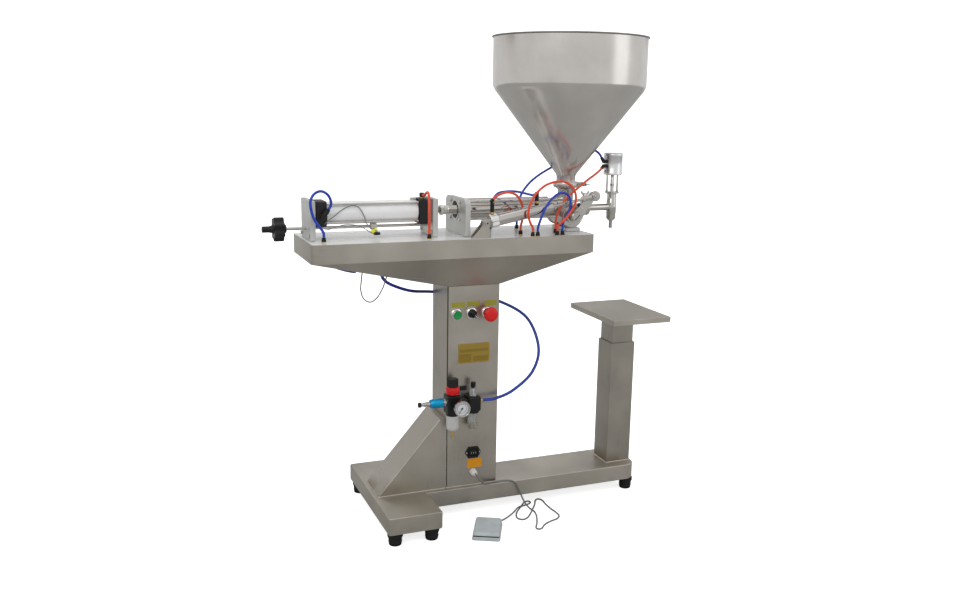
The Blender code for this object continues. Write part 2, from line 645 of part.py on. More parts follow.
def build_valve_group():
    centre = (VALVE_X, 0, VALVE_Z)
    profile = [(0, 0.052), (0.032, 0.052), (0.032, -0.052), (0, -0.052)]
    body = turned("valve_body", centre, Y, profile, BRIGHT)
    neck = [(0, 0.9040), (0.0300, 0.9040), (0.0300, 0.8975), (0.0215, 0.8955), (0.0215, VALVE_Z),
            (0, VALVE_Z)]
    weld(body, turned("valve_neck", (HOPPER_X, 0, 0), Z, neck, BRIGHT))
    outlet = [(0, 0.3480), (0.0155, 0.3480), (0.0155, 0.3440), (0.0125, 0.3400), (0.0125, VALVE_X),
              (0, VALVE_X)]
    weld(body, turned("valve_outlet", (0, 0, PIPE_Z), X, outlet, BRIGHT))
    flange = [(0, 0.285), (0.0300, 0.285), (0.0300, PRODUCT_END + GAP), (0, PRODUCT_END + GAP)]
    weld(body, turned("valve_inlet_flange", (0, 0, DRIVE_Z), X, flange, BRIGHT))
    box("valve_support", (0.2780, -0.0450, TABLE_TOP + GAP), (0.3210, 0.0450, VALVE_Z - 0.0325), PALE_ALLOY,
        0.001)
    plug_r = 0.0180
    cut(body, rod("valve_bore", centre, Y, plug_r + 0.0002, -0.080, 0.044))
    cut(body, rod("neck_bore", (HOPPER_X, 0, 0), Z, 0.0165, VALVE_Z, 0.92))
    cut(body, rod("inlet_bore", (0, 0, DRIVE_Z), X, 0.0120, 0.25, VALVE_X))
    cut(body, rod("outlet_bore", (0, 0, PIPE_Z), X, 0.0080, VALVE_X, 0.36))
    profile = [(0, 0.043), (plug_r, 0.043), (plug_r, -0.0560), (0.0085, -0.0560), (0.0085, -0.0705),
               (0, -0.0705)]
    plug = turned("valve_plug", centre, Y, profile, BRIGHT)
    passage = rod("plug_passage", (0, 0, 0), (1, 0, 1), 0.0095, -0.03, 0.03)
    passage.location = centre
    cut(plug, passage)


def build_crank():
    """Lever clamped on the plug's shaft, with the pin that the actuator's fork holds."""
    centre = Vector((VALVE_X, 0, VALVE_Z))
    arm = Vector((CRANK_PIN.x - VALVE_X, CRANK_PIN.z - VALVE_Z))
    reach = arm.length
    angle = math.atan2(arm.y, arm.x)
    big, small = 0.0165, 0.0110
    points = arc((0, 0), big, 70, 290, 10) + arc((reach, 0), small, -80, 80, 8)
    turned_points = [(x * math.cos(angle) - y * math.sin(angle), x * math.sin(angle) + y * math.cos(angle))
                     for x, y in points]
    lever = outline("crank_lever", turned_points, 0.006, BRIGHT, at=(VALVE_X, -0.0740, VALVE_Z), turn=UPRIGHT)
    pin = (CRANK_PIN.x, 0, CRANK_PIN.z)
    weld(lever, rod("crank_pin", pin, Y, 0.0030, -0.0975, -0.0720, BRIGHT, sides=16))
    weld(lever, rod("pin_washer", pin, Y, 0.0110, -0.0990, -0.0940, BRIGHT, sides=20))
    weld(lever, rod("shaft_disc", centre, Y, 0.0165, -0.0830, -0.0760, BRIGHT))


def build_actuator():
    """Slim air cylinder that swings on a clevis at the table and pulls the crank's pin."""
    pivot = ACTUATOR_PIVOT
    along = Vector((CRANK_PIN.x, ACTUATOR_Y, CRANK_PIN.z)) - pivot
    reach = along.length
    base = TABLE_TOP + GAP
    ear = [(-0.0215, base), (0.0247, base), (pivot.x + 0.0085, pivot.z)]
    ear += arc((pivot.x, pivot.z), 0.0085, 0, 180, 6) + [(pivot.x - 0.0120, pivot.z - 0.006)]
    bracket = outline("actuator_bracket", ear, 0.0030, STEEL, at=(0, ACTUATOR_Y - 0.0105, 0), turn=UPRIGHT)
    weld(bracket, outline("bracket_ear", ear, 0.0030, STEEL, at=(0, ACTUATOR_Y + 0.0105, 0), turn=UPRIGHT))
    weld(bracket, box("bracket_foot", (-0.0215, ACTUATOR_Y - 0.0120, base),
                      (0.0247, ACTUATOR_Y + 0.0120, base + 0.003)))
    weld(bracket, rod("clevis_pin", (pivot.x, 0, pivot.z), Y, 0.0030, ACTUATOR_Y - 0.0160,
                      ACTUATOR_Y + 0.0160, sides=16))
    tube_r, cap_r, nose_r = 0.0160, 0.0168, 0.0172
    tail = box("actuator_tail", (-0.0070, -0.0080, -0.0070), (0.0250, 0.0080, 0.0070), PALE_ALLOY,
               at=pivot, turn=X.rotation_difference(along.normalized()))
    profile = [(0, 0.1990), (0.0100, 0.1990), (0.0100, 0.1930), (nose_r, 0.1930), (nose_r, 0.1780),
               (tube_r, 0.1780), (tube_r, 0.0380), (cap_r, 0.0380), (cap_r, 0.0130), (0, 0.0130)]
    barrel = turned("actuator_barrel", pivot, along, profile, BRIGHT)
    weld(barrel, tail)
    weld(barrel, rod("rear_fitting", (0.0360, ACTUATOR_Y, 0), Z, 0.0052, 0.8250, 0.8700, BLACK, sides=12))
    weld(barrel, port("rear_fitting_arm", ACTUATOR_REAR_ROUTE, 0.0046, 0.0090))
    weld(barrel, rod("front_fitting", (0.1640, ACTUATOR_Y, 0), Z, 0.0058, 0.8480, 0.8960, BLACK, sides=12))
    weld(barrel, rod("front_fitting_arm", (0, ACTUATOR_Y, 0.8880), X, 0.0046, 0.1543, 0.1640, BLACK,
                     sides=12))
    cut(barrel, rod("tail_hole", (pivot.x, 0, pivot.z), Y, 0.0034, ACTUATOR_Y - 0.02, ACTUATOR_Y + 0.02,
                    sides=16))
    cut(barrel, rod("actuator_bore", pivot, along, 0.0046, 0.0300, 0.21, sides=16))
    hole = 0.0092
    fork = outline("actuator_rod",
                   arc((0, 0), 0.0140, -125, 125, 14) + [(-0.0300, 0.0080), (-0.0300, -0.0080)],
                   0.0055, BRIGHT, turn=UPRIGHT)
    fork.location = pivot + along
    slope = math.atan2(along.z, along.x)
    fork.rotation_euler = (math.pi / 2, -slope, 0)
    weld(fork, rod("rod_shank", pivot, along, 0.0040, 0.1000, reach - 0.0250, sides=16))
    weld(fork, rod("rod_nut", pivot, along, 0.0085, reach - 0.0420, reach - 0.0260, sides=12))
    pin_line = (CRANK_PIN.x, 0, CRANK_PIN.z)
    cut(fork, rod("fork_hole", pin_line, Y, hole, ACTUATOR_Y - 0.02, ACTUATOR_Y + 0.02, sides=24))


# ---------- hopper and nozzle ----------

def build_hopper():
    wall = 0.0018
    rim = 0.004
    outer = [(HOPPER_R, HOPPER_TOP - 2 * rim), (HOPPER_R, HOPPER_SHOULDER + 0.010),
             (HOPPER_R - 0.004, HOPPER_SHOULDER - 0.004), (NECK_R, CONE_END), (NECK_R, 0.9165),
             (0.0310, 0.9120), (0.0310, 0.9085)]
    inner = [(0.0165, 0.9085), (NECK_R - wall, 0.9200), (NECK_R - wall, CONE_END + 0.001),
             (HOPPER_R - 0.004 - wall, HOPPER_SHOULDER - 0.003), (HOPPER_R - wall, HOPPER_SHOULDER + 0.011),
             (HOPPER_R - wall, HOPPER_TOP)]
    bead = [(HOPPER_R + 0.001, HOPPER_TOP), (HOPPER_R + rim, HOPPER_TOP - rim / 2),
            (HOPPER_R + rim, HOPPER_TOP - 1.5 * rim)]
    turned("hopper", (HOPPER_X, 0, 0), Z, bead + outer + inner, BRIGHT, hollow=True, sides=40)
    clamp = [(0.0350, 0.9150), (0.0350, 0.8990), (0.0313, 0.8990), (0.0313, 0.9150)]
    clamp = turned("hopper_clamp", (HOPPER_X, 0, 0), Z, clamp, BRIGHT, hollow=True)
    weld(clamp, box("clamp_lug", (HOPPER_X + 0.0330, -0.0120, 0.9005), (HOPPER_X + 0.0560, -0.0030, 0.9135),
                    BRIGHT))
    wing_nut("hopper_wing_nut", (HOPPER_X + 0.0505, -0.0123, 0.9070), -Y)


def wing_nut(name, at, axis):
    """A wing nut: turned hub with two flat wings, its face at the given point."""
    hub = turned(name, at, axis, [(0, 0.011), (0.0050, 0.011), (0.0065, 0), (0, 0)], BRIGHT, sides=16)
    turn = Z.rotation_difference(Vector(axis).normalized())
    wings = box(name + "_wings", (-0.0140, -0.0012, 0.004), (0.0140, 0.0012, 0.0165), BRIGHT, at=at,
                turn=turn)
    weld(hub, wings)
    return hub


def build_nozzle():
    axis = (NOZZLE_X, 0, 0)
    pipe = [(0, 0.4340), (0.0095, 0.4340), (0.0095, 0.3710), (0.0155, 0.3680), (0.0155, 0.3640), (0, 0.3640)]
    pipe = turned("outlet_pipe", (0, 0, PIPE_Z), X, pipe, BRIGHT)
    clamp = [(0.0215, 0.3640), (0.0215, 0.3480), (0.0162, 0.3480), (0.0162, 0.3640)]
    clamp = turned("outlet_clamp", (0, 0, PIPE_Z), X, clamp, BRIGHT, hollow=True)
    weld(clamp, box("outlet_lug", (0.3500, -0.0060, PIPE_Z + 0.0195), (0.3620, 0.0060, PIPE_Z + 0.0300),
                    BRIGHT))
    wing_nut("outlet_wing_nut", (0.3560, 0, PIPE_Z + 0.0303), Z)
    body = [(0.0200, 0.8840), (0.0200, 0.8790), (0.0132, 0.8790), (0.0132, 0.8080), (0.0050, 0.8010),
            (0.0050, TABLE_TOP), (0.0035, TABLE_TOP), (0.0035, 0.8080), (0.0095, 0.8160), (0.0095, 0.8700),
            (0.0055, 0.8720), (0.0055, 0.8840)]
    body = turned("nozzle_body", axis, Z, body, BRIGHT, hollow=True)
    weld(body, pipe)
    cut(body, rod("body_port", (0, 0, PIPE_Z), X, 0.0065, 0.35, NOZZLE_X, sides=20))
    head = turned("nozzle_cylinder", axis, Z,
                  [(0, 0.9930), (0.0250, 0.9930), (0.0265, 0.9915), (0.0265, 0.9330), (0.0250, 0.9320),
                   (0, 0.9320)], ALLOY)
    cut(head, rod("head_bore", axis, Z, 0.0056, 0.90, 0.960, sides=20))
    for side in (-1, 1):
        post = rod("head_post", (NOZZLE_X + side * 0.0165, 0, 0), Z, 0.0028, 0.8843, 0.9330, BRIGHT, sides=12)
        weld(head, post)
    for number, (route, z) in enumerate(((NOZZLE_BLUE_ROUTE, 0.9700), (NOZZLE_RED_ROUTE, 0.9570))):
        weld(head, rod(f"head_fitting_{number}", (0, -0.0090, z), X, 0.0050, 0.4030, 0.4200, BLACK, sides=12))
        weld(head, port(f"head_arm_{number}", route, 0.0046, 0.0130))
    plunger = [(0, 0.9450), (0.0050, 0.9450), (0.0050, 0.8260), (0.0030, 0.8240), (0.0030, 0.7830),
               (0, 0.7830)]
    turned("nozzle_plunger", axis, Z, plunger, BRIGHT, sides=20)


# ---------- controls, air service unit and pedal ----------

def build_controls():
    face = -COLUMN_Y - GAP

    def control(name, x, profile, finish):
        return turned(name, (x, face, BUTTON_Z), -Y, profile, finish)

    cap = [(0, 0.0165), (0.0100, 0.0165), (0.0110, 0.0150), (0.0110, 0.0050), (0, 0.0050)]
    control("start_button", START_X, cap, GREEN)
    disc = [(0, 0.0140), (0.0110, 0.0140), (0.0110, 0.0010), (0, 0.0010)]
    knob = control("selector_knob", SELECTOR_X, disc, BLACK)
    grip = box("selector_grip", (-0.0115, -0.0260, -0.0030), (0.0115, -0.0130, 0.0030), BLACK,
               at=(SELECTOR_X, face, BUTTON_Z))
    grip.rotation_euler = (0, math.radians(45), 0)
    weld(knob, grip)
    stop = [(0, 0.0400), (0.0150, 0.0390), (0.0200, 0.0340), (0.0200, 0.0280), (0.0110, 0.0220),
            (0.0110, 0.0065),
            (0, 0.0065)]
    control("stop_button", STOP_X, stop, RED)


def build_air_service():
    """Filter regulator and lubricator on the column's front, with a slide valve at their inlet."""
    y = -0.0830
    face = -COLUMN_Y - GAP
    unit = box("air_service_unit", (-0.0850, y - 0.017, 0.3000), (-0.0490, face, 0.3560), BLACK)
    weld(unit, box("lubricator_block", (-0.0495, y - 0.012, 0.3130), (-0.0245, face, 0.3420), BLACK))
    weld(unit, box("lubricator_body", (-0.0250, y - 0.017, 0.3030), (0.0110, face, 0.3480), BLACK))
    bowl = [(0, 0.3010), (0.0150, 0.3010), (0.0150, 0.2600), (0.0110, 0.2540), (0.0035, 0.2520),
            (0.0035, 0.2340),
            (0, 0.2340)]
    weld(unit, turned("filter_bowl", (-0.0660, y, 0), Z, bowl, BLACK, sides=20))
    bowl = [(0, 0.3040), (0.0140, 0.3040), (0.0140, 0.2600), (0.0100, 0.2540), (0, 0.2540)]
    weld(unit, turned("oil_bowl", (-0.0070, y, 0), Z, bowl, BLACK, sides=20))
    weld(unit, rod("gauge_stem", (-0.0560, 0, 0.3290), Y, 0.0050, -0.1240, -0.0900, BLACK, sides=16))
    weld(unit, rod("unit_outlet", (0, y, 0.3320), X, 0.0060, 0.0050, 0.0235, BLACK, sides=16))
    knob = [(0, 0.4010), (0.0150, 0.4000), (0.0155, 0.3780), (0.0185, 0.3760), (0.0185, 0.3585),
            (0.0140, 0.3563),
            (0, 0.3563)]
    turned("regulator_knob", (-0.0660, y, 0), Z, knob, BLACK, sides=24)
    turned("lubricator_knob", (-0.0070, y, 0), Z,
           [(0, 0.3860), (0.0065, 0.3850), (0.0065, 0.3720), (0.0080, 0.3700), (0.0100, 0.3560),
            (0.0100, 0.3483), (0, 0.3483)], BLACK, sides=16)
    gauge = [(0, 0.0040), (0.0195, 0.0040), (0.0195, 0.0125), (0.0220, 0.0125), (0.0220, 0), (0, 0)]
    weld(unit, turned("pressure_gauge", (-0.0560, -0.1235, 0.3290), -Y, gauge, BRIGHT, sides=28))
    hub = rod("gauge_needle", (-0.0560, -0.1243, 0.3290), -Y, 0.0025, 0.0043, 0.0070, BLACK, sides=12)
    blade = box("needle_blade", (-0.0010, -0.0063, -0.0040), (0.0010, -0.0053, 0.0165), BLACK,
                at=(-0.0560, -0.1243, 0.3290))
    blade.rotation_euler = (0, math.radians(215), 0)
    weld(hub, blade)
    spool = [(0, -0.0800), (0.0065, -0.0800), (0.0065, -0.1400), (0.0050, -0.1400), (0.0050, -0.1560),
             (0.0070, -0.1560), (0.0070, -0.1630), (0, -0.1630)]
    weld(unit, turned("slide_valve_body", (0, y, 0.3360), X, spool, BLACK, sides=20))
    ring("slide_valve_sleeve", (0, y, 0.3360), X, 0.0125, 0.0069, -0.1300, -0.0940, CYAN, sides=24)


def build_electrics():
    """Cable gland low on the column's front."""
    gland = [(0, GLAND_LENGTH), (0.0065, GLAND_LENGTH), (0.0080, 0.0140), (0.0080, 0.0080), (0.0100, 0.0080),
             (0.0100, 0),
             (0, 0)]
    turned("cable_gland", GLAND, -Y, gland, PEDAL_GREY, sides=16)


def build_pedal():
    """Foot pedal on the floor: a base tray and a lever hinged along its back edge."""
    turn = Matrix.Rotation(PEDAL_TURN, 3, "Z").to_quaternion()
    wide, deep = PEDAL_HALF
    box("pedal_base", (-wide, -deep, 0), (wide, deep, 0.0095), PEDAL_GREY, 0.002, at=PEDAL, turn=turn)
    box("pedal_lever", (-wide + 0.001, -deep + 0.001, 0.0130), (wide - 0.001, deep - 0.001, 0.0220),
        PEDAL_GREY,
        0.002, at=PEDAL, turn=turn)


def build_hoses():
    for name, (route, diameter, finish) in HOSES.items():
        hose(name, route, diameter, finish)


build_base()
build_column()
build_table()
build_platform()
build_air_cylinder()
build_piston_train()
build_product_cylinder()
build_stroke_setting()
build_valve_group()
build_crank()
build_actuator()
build_hopper()
build_nozzle()
build_controls()
build_air_service()
build_electrics()
build_pedal()
build_hoses()
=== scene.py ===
"""Looks of a column-mounted pneumatic piston filler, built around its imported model.

Pieces are laid out in stand coordinates, in metres: the column's axis is x = 0, y = 0, the floor is z = 0, +X
runs along the table towards the nozzle and -Y is the operator's side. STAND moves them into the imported
model's frame.
"""
import math

import bmesh
import bpy
from mathutils import Matrix, Vector


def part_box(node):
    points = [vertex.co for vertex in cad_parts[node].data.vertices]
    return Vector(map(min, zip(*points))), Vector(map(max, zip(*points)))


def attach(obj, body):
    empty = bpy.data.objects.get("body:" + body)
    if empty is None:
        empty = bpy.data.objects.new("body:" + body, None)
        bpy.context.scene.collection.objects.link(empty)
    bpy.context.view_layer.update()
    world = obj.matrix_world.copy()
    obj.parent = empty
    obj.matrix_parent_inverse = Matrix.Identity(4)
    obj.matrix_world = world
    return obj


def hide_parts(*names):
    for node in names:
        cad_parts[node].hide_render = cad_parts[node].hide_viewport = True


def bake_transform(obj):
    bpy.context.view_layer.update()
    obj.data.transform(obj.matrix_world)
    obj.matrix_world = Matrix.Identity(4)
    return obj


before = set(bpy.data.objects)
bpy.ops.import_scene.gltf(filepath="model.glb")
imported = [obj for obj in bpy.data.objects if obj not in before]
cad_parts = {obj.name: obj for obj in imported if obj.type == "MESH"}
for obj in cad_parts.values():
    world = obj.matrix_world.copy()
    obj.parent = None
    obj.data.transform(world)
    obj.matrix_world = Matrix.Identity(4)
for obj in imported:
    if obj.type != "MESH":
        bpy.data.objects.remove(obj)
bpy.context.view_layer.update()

X = Vector((1, 0, 0))
Y = Vector((0, 1, 0))
Z = Vector((0, 0, 1))

COVER_HIGH = Vector(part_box("column_cover")[1])
TRAY_LOW, TRAY_HIGH = (Vector(corner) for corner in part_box("table_tray"))
COLUMN_X = 0.075
COLUMN_Y = 0.06
STAND = Vector((COVER_HIGH.x - COLUMN_X, (TRAY_LOW.y + TRAY_HIGH.y) / 2, 0))


def node_box(node):
    """A CAD node's lowest and highest corners in stand coordinates."""
    low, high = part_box(node)
    return Vector(low) - STAND, Vector(high) - STAND


# ---------- materials ----------

def shader_of(name, colour, roughness, metallic=0.0, **sockets):
    """A new Principled material with its uniform values set on the sockets themselves."""
    material = bpy.data.materials.new(name)
    material.use_nodes = True
    shader = material.node_tree.nodes["Principled BSDF"]
    shader.inputs["Base Color"].default_value = (*colour, 1)
    shader.inputs["Roughness"].default_value = roughness
    shader.inputs["Metallic"].default_value = metallic
    for socket, value in sockets.items():
        shader.inputs[socket.replace("_", " ")].default_value = value
    return material, shader


def noise(material, scale, detail=3.0, size=1.0):
    """A noise value laid in the piece's own coordinates; scale may differ along X, Y and Z."""
    nodes, links = material.node_tree.nodes, material.node_tree.links
    where = nodes.new("ShaderNodeTexCoord")
    mapping = nodes.new("ShaderNodeMapping")
    mapping.inputs["Scale"].default_value = scale
    texture = nodes.new("ShaderNodeTexNoise")
    texture.inputs["Scale"].default_value = size
    texture.inputs["Detail"].default_value = detail
    links.new(where.outputs["Object"], mapping.inputs["Vector"])
    links.new(mapping.outputs["Vector"], texture.inputs["Vector"])
    return texture.outputs["Fac"]


def spread(material, value, low, high, start=0.3, end=0.7):
    """Maps a noise value onto a range."""
    node = material.node_tree.nodes.new("ShaderNodeMapRange")
    node.inputs["From Min"].default_value = start
    node.inputs["From Max"].default_value = end
    node.inputs["To Min"].default_value = low
    node.inputs["To Max"].default_value = high
    material.node_tree.links.new(value, node.inputs["Value"])
    return node.outputs["Result"]


def tint(material, shader, value, first, second):
    """Base colour that wanders between two colours."""
    mix = material.node_tree.nodes.new("ShaderNodeMix")
    mix.data_type = "RGBA"
    mix.inputs["A"].default_value = (*first, 1)
    mix.inputs["B"].default_value = (*second, 1)
    material.node_tree.links.new(value, mix.inputs["Factor"])
    material.node_tree.links.new(mix.outputs["Result"], shader.inputs["Base Color"])


def bump(material, shader, value, distance, strength=1.0):
    node = material.node_tree.nodes.new("ShaderNodeBump")
    node.inputs["Strength"].default_value = strength
    node.inputs["Distance"].default_value = distance
    material.node_tree.links.new(value, node.inputs["Height"])
    material.node_tree.links.new(node.outputs["Normal"], shader.inputs["Normal"])


def shaded(colour, factor):
    return tuple(channel * factor for channel in colour)


def stained(material, shader, value, low, high, colour):
    """Weld haze: below low in the piece's own height the colour turns towards a patchy stain."""
    nodes, links = material.node_tree.nodes, material.node_tree.links
    where = nodes.new("ShaderNodeTexCoord")
    split = nodes.new("ShaderNodeSeparateXYZ")
    links.new(where.outputs["Object"], split.inputs["Vector"])
    fade = spread(material, split.outputs["Z"], 0.75, 0.0, low, high)
    patch = nodes.new("ShaderNodeMath")
    patch.operation = "MULTIPLY"
    links.new(fade, patch.inputs[0])
    links.new(spread(material, value, 0.0, 1.0, 0.42, 0.62), patch.inputs[1])
    mix = nodes.new("ShaderNodeMix")
    mix.data_type = "RGBA"
    mix.inputs["B"].default_value = (*colour, 1)
    links.new(patch.outputs["Value"], mix.inputs["Factor"])
    links.new(shader.inputs["Base Color"].links[0].from_socket, mix.inputs["A"])
    links.new(mix.outputs["Result"], shader.inputs["Base Color"])


def brushed(name, colour, roughness, grain, patches=7.0, depth=0.00002, stain=None):
    """Sheet steel with grain along one axis: fine streaks in gloss and height, and faint handling marks."""
    material, shader = shader_of(name, colour, roughness, 1.0)
    along, across = 4.0, 900.0
    scale = tuple(along if axis == grain else across for axis in "XYZ")
    streaks = noise(material, scale, 4.0)
    clouds = noise(material, (patches, patches, patches), 5.0)
    links = material.node_tree.links
    both = material.node_tree.nodes.new("ShaderNodeMath")
    both.operation = "ADD"
    links.new(spread(material, streaks, -0.07, 0.09), both.inputs[0])
    links.new(spread(material, clouds, roughness - 0.08, roughness + 0.1), both.inputs[1])
    links.new(both.outputs["Value"], shader.inputs["Roughness"])
    tint(material, shader, spread(material, clouds, 0, 1), shaded(colour, 0.84), shaded(colour, 1.1))
    if stain:
        stained(material, shader, clouds, *stain, (0.2, 0.155, 0.105))
    bump(material, shader, streaks, depth)
    return material


def turned_metal(name, colour, roughness, axis, depth=0.000006, anisotropy=0.5, metallic=1.0, swing=0.05):
    """Turned or spun metal: fine rings round its axis, with the stretched highlight that they give."""
    material, shader = shader_of(name, colour, roughness, metallic, Anisotropic=anisotropy)
    scale = tuple(1400.0 if letter == axis else 6.0 for letter in "XYZ")
    rings = noise(material, scale, 3.0)
    clouds = noise(material, (14, 14, 14), 4.0)
    links = material.node_tree.links
    tangent = material.node_tree.nodes.new("ShaderNodeTangent")
    tangent.direction_type = "RADIAL"
    tangent.axis = axis
    links.new(tangent.outputs["Tangent"], shader.inputs["Tangent"])
    links.new(spread(material, rings, roughness - swing, roughness + 1.5 * swing), shader.inputs["Roughness"])
    tint(material, shader, spread(material, clouds, 0, 1), shaded(colour, 0.93), shaded(colour, 1.04))
    bump(material, shader, rings, depth)
    return material


def milled(name, colour, roughness, size=260.0, depth=0.00002, metallic=1.0):
    """Milled, cast or anodised metal with an even fine texture."""
    material, shader = shader_of(name, colour, roughness, metallic)
    fine = noise(material, (size, size, size), 4.0)
    clouds = noise(material, (18, 18, 18), 4.0)
    material.node_tree.links.new(spread(material, fine, roughness - 0.06, roughness + 0.08),
                                 shader.inputs["Roughness"])
    tint(material, shader, spread(material, clouds, 0, 1), shaded(colour, 0.92), shaded(colour, 1.05))
    bump(material, shader, fine, depth)
    return material


def plastic(name, colour, roughness, size=900.0, depth=0.00003, **sockets):
    """Moulded plastic or rubber: fine texture, and gloss that varies a little with handling."""
    material, shader = shader_of(name, colour, roughness, 0.0, **sockets)
    fine = noise(material, (size, size, size), 3.0)
    worn = noise(material, (35, 35, 35), 4.0)
    material.node_tree.links.new(spread(material, worn, roughness - 0.06, roughness + 0.1),
                                 shader.inputs["Roughness"])
    tint(material, shader, spread(material, worn, 0, 1), shaded(colour, 0.88), shaded(colour, 1.08))
    bump(material, shader, fine, depth)
    return material


STEEL = (0.5, 0.468, 0.412)
SHINE = (0.58, 0.56, 0.53)
SHEET_X = brushed("sheet_grain_along", STEEL, 0.36, "X")
SHEET_Y = brushed("sheet_grain_across", STEEL, 0.36, "Y")
SHEET_Z = brushed("sheet_grain_upright", STEEL, 0.34, "Z", stain=(0.085, 0.125))
# Painted shade: the same upright sheet steel, darkened for the platform post and its sleeve.
SHADED_POST_STEEL = brushed("post_grain_upright_painted_shade", shaded(STEEL, 0.82), 0.34, "Z", stain=(0.085, 0.12))
# Painted shade: the hopper's rolled rim is coloured dark for the shade under its bead.
SHADED_RIM_STEEL = milled("rim_painted_shade", (0.26, 0.255, 0.24), 0.35, 300.0)
CHROME = milled("chromed_ring", (0.84, 0.84, 0.84), 0.14, 300.0, 0.000005)
PALE_TURNED = turned_metal("turned_pale", (0.78, 0.78, 0.79), 0.27, "Z", 0.000003, 0.5)
WELD = milled("weld_bead", (0.62, 0.59, 0.55), 0.42, 420.0, 0.0001)
HOPPER_SATIN = turned_metal("spun_hopper", (0.66, 0.635, 0.605), 0.22, "Z", 0.0000003, 0.3, 1.0, 0.01)
TURNED_X = turned_metal("turned_along", SHINE, 0.13, "X")
TURNED_Y = turned_metal("turned_across", SHINE, 0.2, "Y")
TURNED_Z = turned_metal("turned_upright", SHINE, 0.15, "Z")
POLISHED = milled("polished_casting", SHINE, 0.2, 120.0, 0.00004)
WHITE_ALLOY = milled("white_anodised", (0.88, 0.88, 0.89), 0.36, 500.0, 0.00001, 0.2)
TABLE_STEEL = milled("pale_table_plate", (0.86, 0.86, 0.85), 0.26, 700.0, 0.000002, 0.25)
PALE_ALLOY = milled("milled_plate", (0.62, 0.62, 0.6), 0.42, 260.0, 0.00002, 0.7)
BLACK_ALLOY = milled("black_anodised", (0.011, 0.011, 0.013), 0.42, 500.0, 0.00003, 0.2)
BLACK = plastic("black_moulding", (0.008, 0.008, 0.009), 0.36, Specular_IOR_Level=0.32)
RUBBER = plastic("black_rubber", (0.008, 0.008, 0.008), 0.62, 500.0, 0.00006, Specular_IOR_Level=0.3)
GREEN = plastic("green_button", (0.004, 0.28, 0.06), 0.3, Coat_Weight=0.1, Specular_IOR_Level=0.35)
RED = plastic("red_button", (0.7, 0.008, 0.008), 0.3, Coat_Weight=0.1, Specular_IOR_Level=0.35)
WHITE = plastic("white_moulding", (0.74, 0.74, 0.72), 0.38)
CYAN = milled("cyan_anodised", (0.01, 0.36, 0.68), 0.24, 500.0, 0.00001, 0.75)
BRASS = milled("brass", (0.72, 0.5, 0.17), 0.27, 200.0)
GOLD_PLATE = milled("gold_plate", (0.46, 0.32, 0.075), 0.36, 90.0, 0.00004)
LABEL_GREEN = plastic("yellow_green_label", (0.34, 0.31, 0.012), 0.45, Specular_IOR_Level=0.3)
LABEL_ORANGE = plastic("orange_label", (0.72, 0.29, 0.004), 0.45, Specular_IOR_Level=0.3)
# Dark ink for print and the gauge needle, also used as painted shade in slots, bores and gaps.
INK_AND_SHADE = plastic("dark_ink_and_painted_shade", (0.05, 0.045, 0.03), 0.5)
BLUE_TUBE = plastic("blue_tube", (0.008, 0.045, 0.46), 0.26, 500.0, 0.00001, Coat_Weight=0.1)
DARK_TUBE = plastic("dark_blue_tube", (0.01, 0.04, 0.36), 0.26, 500.0, 0.00001, Coat_Weight=0.1)
RED_TUBE = plastic("red_tube", (0.8, 0.07, 0.018), 0.28, 500.0, 0.00001, Coat_Weight=0.1)
GREY_CABLE = plastic("grey_cable", (0.17, 0.17, 0.17), 0.48)
THIN_WIRE = plastic("thin_wire", (0.2, 0.2, 0.19), 0.45)
PEDAL = plastic("pedal_shell", (0.5, 0.55, 0.57), 0.4)
YELLOW_TAG = plastic("yellow_tag", (0.78, 0.8, 0.03), 0.45)
CLEAR = plastic("clear_bowl", (0.8, 0.82, 0.82), 0.14, 200.0, 0.00002, Transmission_Weight=0.75, IOR=1.5)
FROSTED = plastic("frosted_bowl", (0.72, 0.72, 0.71), 0.32, 200.0, 0.00002, Transmission_Weight=0.25)
DIAL = plastic("dial_face", (0.86, 0.87, 0.88), 0.3)
INK_SOFT = plastic("faded_print", (0.3, 0.29, 0.05), 0.5)
GOLD_DARK = milled("engraved_gold", (0.36, 0.245, 0.055), 0.42)
OIL = plastic("oil", (0.62, 0.5, 0.16), 0.2, 60.0, 0.00001, Transmission_Weight=0.6)
SCALE_BLUE = plastic("scale_blue", (0.08, 0.14, 0.42), 0.5)

SHINE_SLOT = "stainless_polished"


# ---------- shapes ----------

def piece(name, mesh, material, body, bevel=0.0, sharp=38.0, segments=2):
    """Puts a mesh made in stand coordinates into the scene, on its body."""
    mesh.materials.append(material)
    mesh.shade_smooth()
    mesh.set_sharp_from_angle(angle=math.radians(sharp))
    obj = bpy.data.objects.new(name, mesh)
    bpy.context.scene.collection.objects.link(obj)
    obj.location = STAND
    if bevel:
        edges = obj.modifiers.new("edges", "BEVEL")
        edges.width = bevel
        edges.segments = segments
        edges.limit_method = "ANGLE"
        edges.angle_limit = math.radians(sharp)
        edges.harden_normals = True
    bpy.context.view_layer.update()
    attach(obj, body)
    return obj


def finished(name, shape):
    bmesh.ops.recalc_face_normals(shape, faces=shape.faces)
    mesh = bpy.data.meshes.new(name)
    shape.to_mesh(mesh)
    shape.free()
    return mesh


def skinned(name, rings, capped=True):
    """A skin through rings of points, closed by its end rings or, uncapped, back to the first ring."""
    shape = bmesh.new()
    rings = [[shape.verts.new(point) for point in ring] for ring in rings]
    if capped:
        shape.faces.new(rings[0])
        shape.faces.new(rings[-1])
    for lower, upper in zip(rings, rings[1:] if capped else rings[1:] + rings[:1]):
        for i in range(len(lower)):
            j = (i + 1) % len(lower)
            shape.faces.new((lower[i], lower[j], upper[j], upper[i]))
    return finished(name, shape)


def frame_at(at, axis):
    turn = Z.rotation_difference(Vector(axis).normalized())
    return Matrix.Translation(Vector(at)) @ turn.to_matrix().to_4x4()


